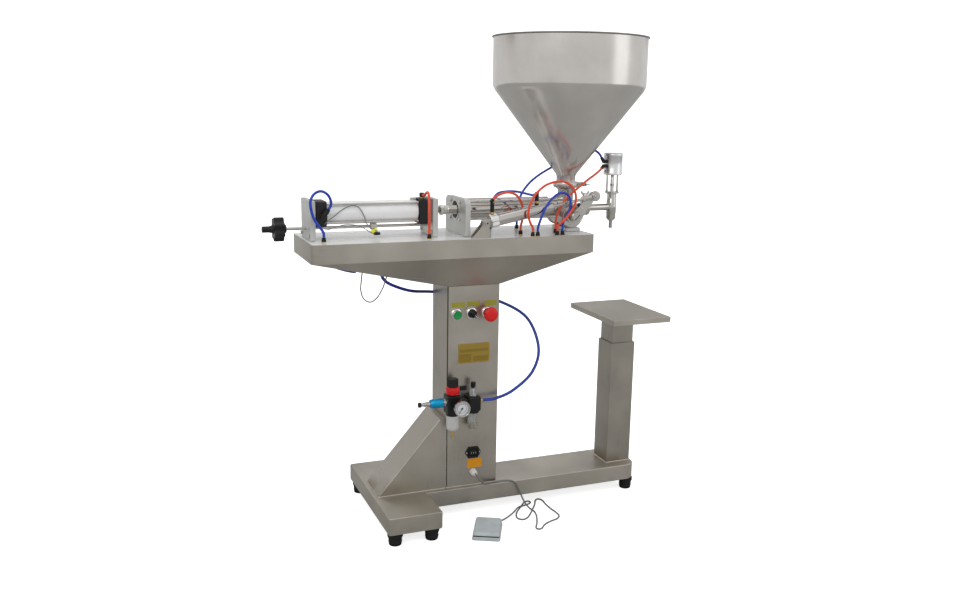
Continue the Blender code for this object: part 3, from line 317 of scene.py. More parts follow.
def lathe(name, at, axis, profile, material, body, segments=72, bevel=0.0, closed=False, ripple=None):
    """Turns (radius, height) points about axis. ripple(angle) adds to the radius of points off the axis."""
    shape = bmesh.new()
    place = frame_at(at, axis)
    rows = []
    for radius, height in profile:
        if radius == 0:
            rows.append([shape.verts.new(place @ Vector((0, 0, height)))])
            continue
        row = []
        for i in range(segments):
            angle = 2 * math.pi * i / segments
            r = radius + (ripple(angle) if ripple else 0.0)
            row.append(shape.verts.new(place @ Vector((r * math.cos(angle), r * math.sin(angle), height))))
        rows.append(row)
    pairs = list(zip(rows, rows[1:]))
    if closed:
        pairs.append((rows[-1], rows[0]))
    for first, second in pairs:
        for i in range(segments):
            j = (i + 1) % segments
            corners = [first[i % len(first)], first[j % len(first)], second[j % len(second)],
                       second[i % len(second)]]
            corners = list(dict.fromkeys(corners))
            if len(corners) > 2:
                shape.faces.new(corners)
    return piece(name, finished(name, shape), material, body, bevel)


def rod(name, at, axis, radius, low, high, material, body, segments=48, chamfer=0.0006, slot=None):
    edge = min(chamfer, radius * 0.4)
    profile = [(0, high), (radius - edge, high), (radius, high - edge), (radius, low + edge),
               (radius - edge, low), (0, low)]
    return lathe(name, at, axis, profile, material, body, segments)


def block(name, low, high, material, body, bevel=0.001, at=(0, 0, 0), turn=None, segments=2, slot=None):
    low, high = Vector(low), Vector(high)
    size = high - low
    shape = bmesh.new()
    place = Matrix.Translation(Vector(at)) @ (turn.to_4x4() if turn else Matrix.Identity(4))
    bmesh.ops.create_cube(shape, size=1.0,
                          matrix=place @ Matrix.Translation(low + size / 2) @ Matrix.Diagonal((*size, 1)))
    return piece(name, finished(name, shape), material, body, bevel, segments=segments)


UPRIGHT = Matrix(((1, 0, 0), (0, 0, 1), (0, 1, 0)))        # outline (x, z), thickness along y
FLAT = Matrix.Identity(3)                                   # outline (x, y), thickness along z
SIDEWAYS = Matrix(((0, 0, 1), (1, 0, 0), (0, 1, 0)))        # outline (y, z), thickness along x


def plate(name, outline, start, end, layout, material, body, bevel=0.001, segments=2, sharp=38.0):
    """A flat outline carried from start to end across its own plane."""
    rings = [[layout @ Vector((a, b, depth)) for a, b in outline] for depth in (start, end)]
    return piece(name, skinned(name, rings), material, body, bevel, sharp, segments)


def arc(centre, radius, start, end, steps=8):
    angles = [math.radians(start + (end - start) * i / steps) for i in range(steps + 1)]
    return [(centre[0] + radius * math.cos(a), centre[1] + radius * math.sin(a)) for a in angles]


def rounded(low, high, radius, steps=8):
    """A rectangle with round corners."""
    corners = (((high[0] - radius, low[1] + radius), -90), ((high[0] - radius, high[1] - radius), 0),
               ((low[0] + radius, high[1] - radius), 90), ((low[0] + radius, low[1] + radius), 180))
    points = []
    for centre, start in corners:
        points += arc(centre, radius, start, start + 90, steps)
    return points


def hexagon(name, at, axis, across, low, high, material, body, bevel=0.0005):
    """A six-sided nut or head."""
    place = frame_at(at, axis)
    corners = arc((0, 0), across / math.sqrt(3), 0, 300, 5)
    rings = [[place @ Vector((x, y, height)) for x, y in corners] for height in (low, high)]
    return piece(name, skinned(name, rings), material, body, bevel)


def smooth_route(points, spacing):
    """Points along a smooth curve through the given ones, about spacing apart."""
    given = [Vector(p) for p in points]
    ends = [2 * given[0] - given[1], *given, 2 * given[-1] - given[-2]]
    route = []
    for before, start, end, after in zip(ends, ends[1:], ends[2:], ends[3:]):
        count = max(2, round((end - start).length / spacing))
        for i in range(count):
            t = i / count
            route.append(0.5 * (2 * start + (end - before) * t + (2 * before - 5 * start + 4 * end - after)
                                * t ** 2 + (3 * start - before - 3 * end + after) * t ** 3))
    return route + [given[-1]]


def tube(name, route, diameter, material, body, spacing=0.004):
    """A flexible tube as a curve of one spline."""
    points = smooth_route(route, spacing)
    curve = bpy.data.curves.new(name, "CURVE")
    curve.dimensions = "3D"
    curve.bevel_depth = diameter / 2
    curve.bevel_resolution = 5
    curve.use_fill_caps = True
    spline = curve.splines.new("POLY")
    spline.points.add(len(points) - 1)
    for point, position in zip(spline.points, points):
        point.co = (*position, 1)
    spline.use_smooth = True
    curve.materials.append(material)
    obj = bpy.data.objects.new(name, curve)
    bpy.context.scene.collection.objects.link(obj)
    obj.location = STAND
    bpy.context.view_layer.update()
    if body:
        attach(obj, body)
    return obj, [point + STAND for point in points]


def meshed(obj):
    """The same tube as a mesh."""
    evaluated = obj.evaluated_get(bpy.context.evaluated_depsgraph_get())
    mesh = bpy.data.meshes.new_from_object(evaluated)
    mesh.shade_smooth()
    name = obj.name
    bpy.data.objects.remove(obj, do_unlink=True)
    made = bpy.data.objects.new(name, mesh)
    bpy.context.scene.collection.objects.link(made)
    made.location = STAND
    bpy.context.view_layer.update()
    return made


def free_line(name, route, diameter, material, nodes=(), bends_to=None):
    """A flexible line as a tube on the machine body. Given bends_to, the tube is turned into a mesh in place
    and put on no body; the body's name in bends_to is not used.
    """
    obj, points = tube(name, route, diameter, material, None if bends_to else "machine")
    if bends_to:
        obj = meshed(obj)
        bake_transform(obj)
    if nodes:
        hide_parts(*nodes)
    return obj


# ---------- camera and cords ----------

def build_camera():
    """The view from the front left and a little above, as fitted to the machine's proportions."""
    azimuth, elevation, roll = math.radians(-21.92), math.radians(11.67), math.radians(0.93)
    back = Vector((math.sin(azimuth) * math.cos(elevation), -math.cos(azimuth) * math.cos(elevation),
                   math.sin(elevation)))
    right = Z.cross(back).normalized()
    up = back.cross(right)
    across = math.cos(roll) * right + math.sin(roll) * up
    over = -math.sin(roll) * right + math.cos(roll) * up
    data = bpy.data.cameras.new("camera")
    data.lens = 35.31
    data.sensor_width = 36
    camera = bpy.data.objects.new("camera", data)
    bpy.context.scene.collection.objects.link(camera)
    place = Matrix((across, over, back)).transposed().to_4x4()
    place.translation = STAND + Vector((-0.90822, -2.36159, 1.11843))
    camera.matrix_world = place
    bpy.context.scene.camera = camera


LINE_START = 0.7928
LINE_RISE = 0.8028
SUPPLY_ROUTE = [(0.0238, -0.083, 0.332), (0.06, -0.083, 0.333), (0.118, -0.07, 0.347), (0.19, -0.038, 0.385),
                (0.225, 0.0, 0.444), (0.205, 0.04, 0.522), (0.134, 0.072, 0.568), (0.04, 0.076, 0.594),
                (-0.072, 0.072, 0.609), (-0.139, 0.058, 0.618), (-0.198, 0.035, 0.641), (-0.226, 0.018, 0.66),
                (-0.238, 0.011, 0.6805)]
REAR_ROUTE = [(-0.388, -0.0465, 0.8573), (-0.381, -0.0475, 0.871), (-0.386, -0.055, 0.889),
              (-0.397, -0.06, 0.901), (-0.412, -0.064, 0.906), (-0.428, -0.068, 0.899),
              (-0.437, -0.07, 0.883), (-0.436, -0.071, 0.862), (-0.428, -0.072, 0.836),
              (-0.412, -0.072, 0.813), (-0.406, -0.071, LINE_RISE), (-0.406, -0.071, LINE_START)]
FRONT_ROUTE = [(-0.129, -0.0113, 0.886), (-0.129, -0.025, 0.887), (-0.13, -0.05, 0.897),
               (-0.132, -0.069, 0.893), (-0.134, -0.08, 0.868), (-0.135, -0.083, 0.83),
               (-0.134, -0.081, LINE_RISE), (-0.134, -0.081, LINE_START)]
VALVE_RED_ROUTE = [(0.146, -0.1095, LINE_START), (0.146, -0.1095, LINE_RISE), (0.138, -0.1125, 0.814),
                   (0.131, -0.115, 0.829), (0.128, -0.117, 0.847), (0.134, -0.1183, 0.87),
                   (0.149, -0.1185, 0.895), (0.174, -0.1185, 0.915), (0.202, -0.1185, 0.924),
                   (0.23, -0.1185, 0.924), (0.252, -0.1185, 0.912), (0.263, -0.1185, 0.896),
                   (0.266, -0.1185, 0.876), (0.261, -0.117, 0.855), (0.242, -0.115, 0.828),
                   (0.224, -0.112, 0.812), (0.218, -0.1095, LINE_RISE), (0.218, -0.1095, LINE_START)]
VALVE_BLUE_ROUTE = [(0.161, -0.1085, LINE_START), (0.161, -0.1085, LINE_RISE), (0.17, -0.1107, 0.832),
                    (0.184, -0.111, 0.861), (0.202, -0.111, 0.882), (0.221, -0.1105, 0.893),
                    (0.24, -0.1095, 0.892), (0.252, -0.108, 0.881), (0.256, -0.1075, 0.864),
                    (0.252, -0.1075, 0.842), (0.238, -0.1075, 0.82), (0.234, -0.1085, LINE_RISE),
                    (0.234, -0.1085, LINE_START)]
ACTUATOR_REAR_ROUTE = [(0.13, -0.066, LINE_START), (0.13, -0.066, LINE_RISE), (0.136, -0.066, 0.832),
                       (0.13, -0.068, 0.865), (0.112, -0.072, 0.887), (0.088, -0.078, 0.895),
                       (0.065, -0.085, 0.893), (0.047, -0.089, 0.886), (0.0385, -0.09, 0.8785)]
ACTUATOR_FRONT_ROUTE = [(0.09, 0.056, LINE_START), (0.09, 0.056, LINE_RISE), (0.089, 0.05, 0.826),
                        (0.091, 0.043, 0.86), (0.098, 0.022, 0.883), (0.11, -0.015, 0.892),
                        (0.124, -0.05, 0.894), (0.138, -0.08, 0.891), (0.15, -0.0895, 0.888),
                        (0.1543, -0.09, 0.888)]
NOZZLE_BLUE_ROUTE = [(0.4006, -0.0066, 0.9804), (0.397, -0.004, 0.988), (0.391, 0.002, 0.996),
                     (0.383, 0.016, 1.001), (0.37, 0.036, 0.998), (0.349, 0.056, 0.985), (0.318, 0.07, 0.966),
                     (0.28, 0.073, 0.947), (0.24, 0.064, 0.928), (0.205, 0.054, 0.905), (0.18, 0.048, 0.875),
                     (0.169, 0.046, 0.838), (0.168, 0.046, LINE_RISE), (0.168, 0.046, LINE_START)]
NOZZLE_RED_ROUTE = [(0.3974, -0.015, 0.9512), (0.391, -0.0195, 0.947), (0.366, -0.036, 0.936),
                    (0.335, -0.051, 0.922), (0.299, -0.061, 0.9), (0.266, -0.062, 0.874),
                    (0.244, -0.063, 0.842), (0.235, -0.065, 0.816), (0.234, -0.066, LINE_RISE),
                    (0.234, -0.066, LINE_START)]
LIE = 0.0045 / 2 + 0.0004
OVER = LIE + 0.0058
CABLE_ROUTE = [(0.004, -0.0828, 0.119), (0.0045, -0.096, 0.117), (0.012, -0.104, 0.106),
               (0.026, -0.096, 0.092), (0.042, -0.079, 0.0842), (0.06, -0.071, 0.083), (0.085, -0.07, 0.083),
               (0.106, -0.0735, 0.0832), (0.121, -0.0797, 0.08), (0.132, -0.0825, 0.066),
               (0.141, -0.0835, 0.045), (0.149, -0.087, 0.025), (0.157, -0.097, 0.009), (0.164, -0.111, LIE),
               (0.166, -0.13, LIE), (0.158, -0.16, LIE), (0.142, -0.196, LIE), (0.129, -0.218, LIE),
               (0.127, -0.231, LIE), (0.139, -0.232, LIE), (0.156, -0.214, LIE), (0.18, -0.2, LIE),
               (0.206, -0.1905, LIE), (0.22, -0.174, LIE), (0.221, -0.15, LIE), (0.218, -0.12, LIE),
               (0.218, -0.09, LIE), (0.22, -0.066, LIE), (0.213, -0.052, LIE), (0.201, -0.059, LIE),
               (0.19, -0.079, LIE), (0.179, -0.098, 0.005), (0.165, -0.119, OVER), (0.148, -0.14, 0.0045),
               (0.131, -0.157, LIE), (0.115, -0.164, LIE), (0.104, -0.153, LIE), (0.107, -0.135, LIE),
               (0.118, -0.115, LIE), (0.135, -0.094, LIE), (0.154, -0.072, LIE), (0.168, -0.058, LIE),
               (0.18, -0.057, LIE), (0.181, -0.068, LIE), (0.166, -0.077, LIE), (0.147, -0.086, 0.005),
               (0.1285, -0.0985, OVER), (0.108, -0.115, 0.0045), (0.084, -0.133, LIE), (0.064, -0.148, 0.004),
               (0.05, -0.157, 0.006), (0.0436, -0.1634, 0.0065)]
TRAY_LOOP_ROUTE = [(-0.291, 0.0, 0.6845), (-0.2935, 0.0, 0.664), (-0.295, 0.0, 0.64), (-0.288, 0.0, 0.617),
                   (-0.27, 0.0, 0.606), (-0.251, 0.0, 0.617), (-0.236, 0.0, 0.641), (-0.228, 0.0, 0.662),
                   (-0.2245, 0.0, 0.6725)]
STUB_ROUTE = [(-0.372, 0.0, 0.7095), (-0.362, 0.0, 0.7035), (-0.349, 0.0, 0.6985), (-0.333, 0.0, 0.6935),
              (-0.318, 0.0, 0.69), (-0.308, 0.0, 0.6885)]
LOW_LEAD_ROUTE = [(-0.395, -0.034, 0.806), (-0.386, -0.037, 0.807), (-0.366, -0.042, 0.814),
                  (-0.343, -0.044, 0.819), (-0.318, -0.044, 0.817), (-0.296, -0.043, 0.808),
                  (-0.279, -0.041, 0.797), (-0.268, -0.038, 0.7925)]
REED_ROUTE = [(-0.395, -0.033, 0.82), (-0.388, -0.037, 0.829), (-0.37, -0.034, 0.84), (-0.348, -0.031, 0.856),
              (-0.325, -0.03, 0.865), (-0.306, -0.031, 0.86), (-0.294, -0.033, 0.84),
              (-0.286, -0.0345, 0.818), (-0.276, -0.036, 0.806), (-0.266, -0.039, 0.801),
              (-0.262, -0.0398, 0.8)]


def build_lines():
    air, small, slim = 0.0086, 0.007, 0.0064
    free_line("supply_line", SUPPLY_ROUTE, air, DARK_TUBE, ["supply_hose"])
    hoses = (("rear_cap_hose", REAR_ROUTE, small, BLUE_TUBE),
             ("front_cap_hose", FRONT_ROUTE, small, RED_TUBE),
             ("valve_hose_red", VALVE_RED_ROUTE, slim, RED_TUBE),
             ("valve_hose_blue", VALVE_BLUE_ROUTE, slim, BLUE_TUBE),
             ("nozzle_hose_blue", NOZZLE_BLUE_ROUTE, slim, BLUE_TUBE),
             ("nozzle_hose_red", NOZZLE_RED_ROUTE, slim, RED_TUBE))
    for node, route, diameter, material in hoses:
        free_line(node + "_line", route, diameter, material, [node])
    free_line("actuator_rear_line", ACTUATOR_REAR_ROUTE, slim, RED_TUBE,
              ["actuator_rear_hose"], "valve_actuator")
    free_line("actuator_front_line", ACTUATOR_FRONT_ROUTE, slim, BLUE_TUBE, (),
              "valve_actuator")
    free_line("pedal_lead", CABLE_ROUTE, 0.0045, GREY_CABLE, ["pedal_cable"])
    free_line("tray_wire_loop", TRAY_LOOP_ROUTE, 0.0034, THIN_WIRE)
    free_line("tray_blue_line", STUB_ROUTE, small, DARK_TUBE)
    free_line("sensor_lead", REED_ROUTE, 0.0026, THIN_WIRE, (), "sensor_slide")
    free_line("sensor_lead_low", LOW_LEAD_ROUTE, 0.0022, THIN_WIRE, (), "sensor_slide")


# ---------- stand ----------

BASE_TOP = 0.08
FOOT_HEIGHT = 0.034
CROSS_LEFT, CROSS_RIGHT, CROSS_HALF = -0.28, -0.134, 0.204
BEAM_RIGHT, BEAM_HALF = 0.524, 0.075
COLUMN_TOP = 0.648
SHEET = 0.002
MACHINE = "machine"


def weld_bead(name, route, radius=0.0016):
    """A wavy fillet weld along a joint."""
    points = smooth_route(route, 0.0025)
    sides = 8
    rings = []
    for i, point in enumerate(points):
        ahead = points[min(i + 1, len(points) - 1)] - points[max(i - 1, 0)]
        turn = Z.rotation_difference(ahead.normalized()).to_matrix()
        swell = radius * (1.0 + 0.22 * math.sin(i * 1.9) + 0.1 * math.sin(i * 0.53))
        around = arc((0, 0), swell, 0, 360 - 360 / sides, sides - 1)
        rings.append([point + turn @ Vector((x, y, 0)) for x, y in around])
    return piece(name, skinned(name, rings), WELD, MACHINE, sharp=80)


def build_base():
    corner = 0.035
    small = 0.004
    end = arc((BEAM_RIGHT - corner, -BEAM_HALF + corner), corner, -90, 0, 12)
    end += arc((BEAM_RIGHT - corner, BEAM_HALF - corner), corner, 0, 90, 12)
    outline = [*end, (CROSS_RIGHT, BEAM_HALF), (CROSS_RIGHT, CROSS_HALF - small),
               (CROSS_RIGHT - small, CROSS_HALF), (CROSS_LEFT + small, CROSS_HALF),
               (CROSS_LEFT, CROSS_HALF - small), (CROSS_LEFT, -CROSS_HALF + small),
               (CROSS_LEFT + small, -CROSS_HALF), (CROSS_RIGHT - small, -CROSS_HALF),
               (CROSS_RIGHT, -CROSS_HALF + small), (CROSS_RIGHT, -BEAM_HALF)]
    base = plate("base_box", outline, FOOT_HEIGHT, BASE_TOP, FLAT, SHEET_X, MACHINE, 0.0022, 3, 50)
    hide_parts("base_frame")
    bead = BASE_TOP + 0.0002
    seam = CROSS_RIGHT - 0.001
    weld_bead("weld_beam_front", [(seam, -BEAM_HALF, bead), (seam + 0.0005, 0, bead - 0.0006),
                                  (seam, BEAM_HALF, bead)])
    for name, node in (("left_front", "foot_left_front"), ("left_back", "foot_left_back"),
                       ("middle_front", "foot_middle_front"), ("middle_back", "foot_middle_back"),
                       ("right_front", "foot_right_front"), ("right_back", "foot_right_back")):
        low, high = node_box(node)
        middle = (low + high) / 2
        top = high.z
        profile = [(0, top), (0.0202, top), (0.0205, top - 0.001), (0.0203, top - 0.01),
                   (0.0186, top - 0.0105), (0.0172, 0.012), (0.018, 0.0105), (0.0165, 0.0012), (0.0155, 0),
                   (0, 0)]
        foot = lathe("rubber_" + name, (middle.x, middle.y, 0), Z, profile, RUBBER, MACHINE, 48)
        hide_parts(node)


def build_column():
    low = BASE_TOP + 0.0003
    shell = block("column_shell", (-COLUMN_X, -COLUMN_Y + SHEET, low), (COLUMN_X, COLUMN_Y, COLUMN_TOP),
                  SHEET_Z, MACHINE, 0.0016, segments=3)
    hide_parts("column")
    back = -COLUMN_Y + SHEET
    cover = block("column_front", (-COLUMN_X + 0.0032, -COLUMN_Y, low),
                  (COLUMN_X - 0.0004, back, COLUMN_TOP - 0.0008), SHEET_Z, MACHINE, 0.0008)
    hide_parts("column_cover")
    block("column_seam", (-COLUMN_X + 0.0004, -COLUMN_Y + 0.0008, low),
          (-COLUMN_X + 0.004, back + 0.001, COLUMN_TOP - 0.001), INK_AND_SHADE, MACHINE, 0.0)
    side = -COLUMN_X
    slope = [(-0.268, low), (side - 0.0002, low), (side - 0.0002, 0.281), (-0.094, 0.281)]
    plate("side_box", slope, -COLUMN_Y, COLUMN_Y, UPRIGHT, SHEET_Z, MACHINE, 0.0018, 3)
    front = -COLUMN_Y - 0.0006
    foot = BASE_TOP + 0.0009
    weld_bead("weld_column_front", [(x, front, foot) for x in (-COLUMN_X, 0, COLUMN_X)])
    weld_bead("weld_side_box_front", [(x, front, foot) for x in (-0.268, -0.17, -COLUMN_X - 0.002)])
    for name, x in (("weld_side_box_end", -0.2685), ("weld_column_right", COLUMN_X + 0.0006)):
        weld_bead(name, [(x, y, foot) for y in (-COLUMN_Y, 0, COLUMN_Y)])
    weld_bead("weld_side_box_upright", [(-COLUMN_X - 0.0008, front + 0.0012, z)
                                        for z in (0.084, 0.18, 0.279)], 0.001)


TABLE_LEFT, TABLE_RIGHT, TABLE_HALF = -0.447, 0.3295, 0.118
TABLE_TOP = 0.78
RIM = TABLE_TOP - 0.0485


def build_table():
    """Tray, its drawn-in underside and the plate let into it, as one skin with a raised lip."""
    corner = 0.012
    lip = SHEET
    sink = 0.0016
    foot = COLUMN_TOP + 0.0003
    mouth = rounded((-COLUMN_X - 0.003, -COLUMN_Y - 0.003), (COLUMN_X + 0.003, COLUMN_Y + 0.003), 0.004)
    around = rounded((TABLE_LEFT, -TABLE_HALF), (TABLE_RIGHT, TABLE_HALF), corner)
    within = rounded((TABLE_LEFT + lip, -TABLE_HALF + lip), (TABLE_RIGHT - lip, TABLE_HALF - lip),
                     corner - lip)
    levels = [(mouth, foot), (around, RIM), (around, TABLE_TOP), (within, TABLE_TOP),
              (within, TABLE_TOP - sink)]
    rings = [[(x, y, z) for x, y in points] for points, z in levels]
    tray = piece("tray", skinned("tray", rings), SHEET_X, MACHINE, 0.0012, 14, 3)
    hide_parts("table_tray")
    inset = lip + 0.0004
    edge = rounded((TABLE_LEFT + inset, -TABLE_HALF + inset), (TABLE_RIGHT - inset, TABLE_HALF - inset),
                   corner - inset)
    sheet = plate("table_sheet", edge, TABLE_TOP - sink, TABLE_TOP - 0.0001, FLAT, TABLE_STEEL, MACHINE,
                  0.0006, sharp=50)
    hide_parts("table_plate")
    spots = [REAR_ROUTE[-1], FRONT_ROUTE[-1], VALVE_RED_ROUTE[0], VALVE_RED_ROUTE[-1], VALVE_BLUE_ROUTE[0],
             VALVE_BLUE_ROUTE[-1], ACTUATOR_REAR_ROUTE[0], ACTUATOR_FRONT_ROUTE[0], NOZZLE_BLUE_ROUTE[-1],
             NOZZLE_RED_ROUTE[-1]]
    bottom = TABLE_TOP - sink
    for number, (x, y, _) in enumerate(spots):
        hexagon(f"table_union_nut_{number}", (x, y, 0), Z, 0.0108, bottom, bottom + 0.0035, BRASS, MACHINE)
        collar = [(0, 0.792), (0.004, 0.792), (0.005, 0.791), (0.0052, 0.7885), (0.0044, 0.788),
                  (0.0046, 0.7872), (0.0058, 0.7868), (0.0058, bottom + 0.003), (0, bottom + 0.003)]
        lathe(f"table_union_{number}", (x, y, 0), Z, collar, BLACK, MACHINE, 32)


def build_platform():
    half, wall = 0.039, 0.0042
    x = 0.48
    top = 0.446
    low = BASE_TOP + 0.0003
    outer = rounded((x - half, -half), (x + half, half), 0.0022, 4)
    inner = rounded((x - half + wall, -half + wall), (x + half - wall, half - wall), 0.0015, 4)
    levels = ((outer, low), (outer, top), (inner, top), (inner, low + 0.02))
    rings = [[(a, b, z) for a, b in points] for points, z in levels]
    # Post and sleeve take the darkened upright steel: painted shade.
    post = piece("post_tube", skinned("post_tube", rings), SHADED_POST_STEEL, MACHINE, 0.0006, 60, 2)
    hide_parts("post_outer")
    foot = BASE_TOP + 0.0009
    for side in (-1, 1):
        out = side * (half + 0.0006)
        weld_bead(f"weld_post_y{side + 1}", [(x + along, out, foot) for along in (-half, 0, half)])
        weld_bead(f"weld_post_x{side + 1}", [(x + out, along, foot) for along in (-half, 0, half)])
    sleeve = 0.0345
    low, high = node_box("bottle_platform")
    column = plate("platform_tube", rounded((x - sleeve, -sleeve), (x + sleeve, sleeve), 0.002, 4), low.z,
                   high.z - 0.004, FLAT, SHADED_POST_STEEL, "platform", 0.0006, 2, 60)
    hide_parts("bottle_platform")
    thick = 0.015
    outline = rounded((low.x, low.y), (high.x, high.y), 0.003, 5)
    inset = rounded((low.x + SHEET, low.y + SHEET), (high.x - SHEET, high.y - SHEET), 0.002, 5)
    under = high.z - thick
    levels = ((outline, high.z), (outline, under), (inset, under), (inset, high.z - SHEET))
    rings = [[(a, b, z) for a, b in points] for points, z in levels]
    piece("platform_plate", skinned("platform_plate", rings), SHEET_Y, "platform", 0.0008, 40, 3)


# ---------- air cylinder and piston train ----------

DRIVE_Z = 0.845
AXIS = (0, 0, DRIVE_Z)
SCREW = (0, 0, 0.8075)


def build_air_cylinder():
    for name, node in (("rear_mount", "cylinder_rear_plate"), ("front_mount", "cylinder_front_plate")):
        low, high = node_box(node)
        mount = block(name, low, high, PALE_ALLOY, MACHINE, 0.0014, segments=3)
        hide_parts(node)
        for number, y in enumerate((low.y + 0.012, high.y - 0.012)):
            hexagon(f"{name}_bolt_{number}", (0, y, low.z + 0.012), X, 0.01, low.x - 0.0045, low.x, POLISHED,
                    MACHINE)
    half, inset = 0.0325, 0.0235
    corners = [(y * inset, DRIVE_Z + z * inset) for y in (-1, 1) for z in (-1, 1)]
    caps = (("rear", -0.415, -0.389, "cylinder_rear_cap"), ("front", -0.143, -0.115, "cylinder_front_cap"))
    for end_name, start, end, node in caps:
        name = end_name + "_cap_block"
        outline = rounded((-half, DRIVE_Z - half), (half, DRIVE_Z + half), 0.006, 6)
        cap = plate(name, outline, start, end, SIDEWAYS, BLACK_ALLOY, MACHINE, 0.0012)
        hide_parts(node)
        face, out = (end, X) if end_name == "rear" else (start, -X)
        for number, (y, z) in enumerate(corners):
            rod(f"{name}_socket_{number}", (face, y, z), out, 0.0062, -0.001, 0.0016, BLACK_ALLOY, MACHINE,
                24)
    for number, (y, z) in enumerate(corners):
        rod(f"cylinder_tie_rod_{number}", (0, y, z), X, 0.0032, -0.3885, -0.1435, TURNED_X, MACHINE, 24)
    barrel = lathe("air_barrel", AXIS, X, [(0.028, -0.1435), (0.028, -0.3887), (0.0255, -0.3887),
                                           (0.0255, -0.1435)], WHITE_ALLOY, MACHINE, 96, closed=True)
    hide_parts("cylinder_barrel")
    for name, at in (("rear", -0.3905), ("front", -0.1415)):
        low, high = sorted((at, at + (0.004 if at < -0.2 else -0.004)))
        lathe(f"barrel_seal_{name}", AXIS, X, [(0.0295, high), (0.0295, low), (0.0279, low), (0.0279, high)],
              BLACK_ALLOY, MACHINE, 72, closed=True)
    elbow(REAR_ROUTE, "rear_elbow", (-0.402, -0.0465, 0.84), (-0.402, -0.033, 0.84))
    elbow(FRONT_ROUTE, "front_elbow", (-0.129, -0.003, 0.886), (-0.129, -0.003, 0.8775))
    block("top_bleed_block", (-0.16, -0.006, 0.872), (-0.145, 0.006, 0.8795), PALE_ALLOY, MACHINE)


def elbow(route, name, corner, seat):
    """A black push-in elbow: threaded seat, body and the collar that the line pushes into."""
    start, following = Vector(route[0]), Vector(route[1])
    corner, seat = Vector(corner), Vector(seat)
    ahead = (following - start).normalized()
    rod(name + "_collar", start, ahead, 0.0052, -0.01, 0.0, BLACK, MACHINE, 32)
    rod(name + "_release", start, ahead, 0.0046, -0.001, 0.0022, BLACK, MACHINE, 32)
    leg = start - corner
    if leg.length > 0.004:
        rod(name + "_body", corner, leg, 0.006, -0.004, leg.length - 0.004, BLACK, MACHINE, 32)
    down = seat - corner
    if down.length > 0.004:
        rod(name + "_stem", corner, down, 0.0062, -0.006, down.length - 0.003, BLACK, MACHINE, 32)
        hexagon(name + "_hex", corner, down, 0.0115, down.length - 0.004, down.length - 0.0004, BRASS,
                MACHINE)


def build_piston_train():
    body = "piston_train"
    bore = 0.025
    head = -0.386
    profile = [(0, -0.0782), (0.0074, -0.0782), (0.008, -0.079), (0.008, head + 0.022), (bore, head + 0.022),
               (bore, head), (0, head)]
    ram = lathe("air_ram", AXIS, X, profile, TURNED_X, body, 64)
    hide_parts("cylinder_piston_rod")
    thread = [(0.0117 if i % 2 else 0.0106, -0.0305 - 0.0011 * i) for i in range(24)]
    join = lathe("threaded_coupling", AXIS, X, [(0, -0.029), (0.0105, -0.029), *thread, (0.0105, -0.0575),
                                                (0.0105, -0.068), (0, -0.068)], TURNED_X, body, 48)
    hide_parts("rod_coupling")
    hexagon("coupling_lock_nut", AXIS, X, 0.0248, -0.0779, -0.069, POLISHED, body)
    rod("coupling_collar", AXIS, X, 0.012, -0.069, -0.0585, TURNED_X, body)
    profile = [(0, 0.06), (0.0215, 0.06), (0.0228, 0.0585), (0.0228, 0.05), (0.0205, 0.0495),
               (0.0205, 0.0465), (0.0228, 0.046), (0.0228, 0.0375), (0.0215, 0.036), (0.008, 0.036),
               (0.008, -0.0287), (0, -0.0287)]
    head = lathe("product_ram", AXIS, X, profile, TURNED_X, body, 64)
    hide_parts("product_piston")
    lathe("product_seal", AXIS, X, [(0.0232, 0.0492), (0.0232, 0.0468), (0.02, 0.0468), (0.02, 0.0492)],
          WHITE, body, 64, closed=True)


def build_product_cylinder():
    half = 0.077
    foot = TABLE_TOP + 0.0003
    top = 0.8785
    hole = 0.0238
    cut = 0.01
    outline = [(-half, foot), (half, foot), (half, top - cut), (half - cut, top), (-half + cut, top),
               (-half, top - cut)]
    support = holed_plate("cylinder_support", outline, hole, (0, DRIVE_Z), -0.033, -0.019, PALE_ALLOY)
    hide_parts("product_cylinder_support")
    for number, (y, z) in enumerate(((-0.034, 0.868), (0.034, 0.868), (-0.034, 0.822), (0.034, 0.822))):
        rod(f"support_bolt_{number}", (0, y, z), X, 0.0048, -0.0368, -0.033, POLISHED, MACHINE, 32)
        rod(f"product_tie_rod_{number}", (0, y * 0.98, z), X, 0.003, -0.019, 0.255, TURNED_X, MACHINE, 24)
    barrel = lathe("product_barrel", AXIS, X, [(0.026, 0.259), (0.026, -0.0187), (0.0235, -0.0187),
                                               (0.0235, 0.259)], TURNED_X, MACHINE, 96, closed=True)
    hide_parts("product_cylinder")
    lathe("support_bush", AXIS, X, [(0.0275, -0.0345), (0.0275, -0.033), (0.0238, -0.033), (0.0238, -0.0345)],
          POLISHED, MACHINE, 64, closed=True)


def holed_plate(name, outline, radius, centre, start, end, material, steps=64):
    """An upright plate across X with one round hole: quads from the hole's rim to the outline."""
    rim = arc(centre, radius, 0, 360 - 360 / steps, steps - 1)
    edge = [outward(outline, centre, point) for point in rim]
    rings = [[SIDEWAYS @ Vector((a, b, x)) for a, b in points] for points,
             x in ((rim, start), (edge, start), (edge, end), (rim, end))]
    return piece(name, skinned(name, rings, capped=False), material, MACHINE, 0.0)


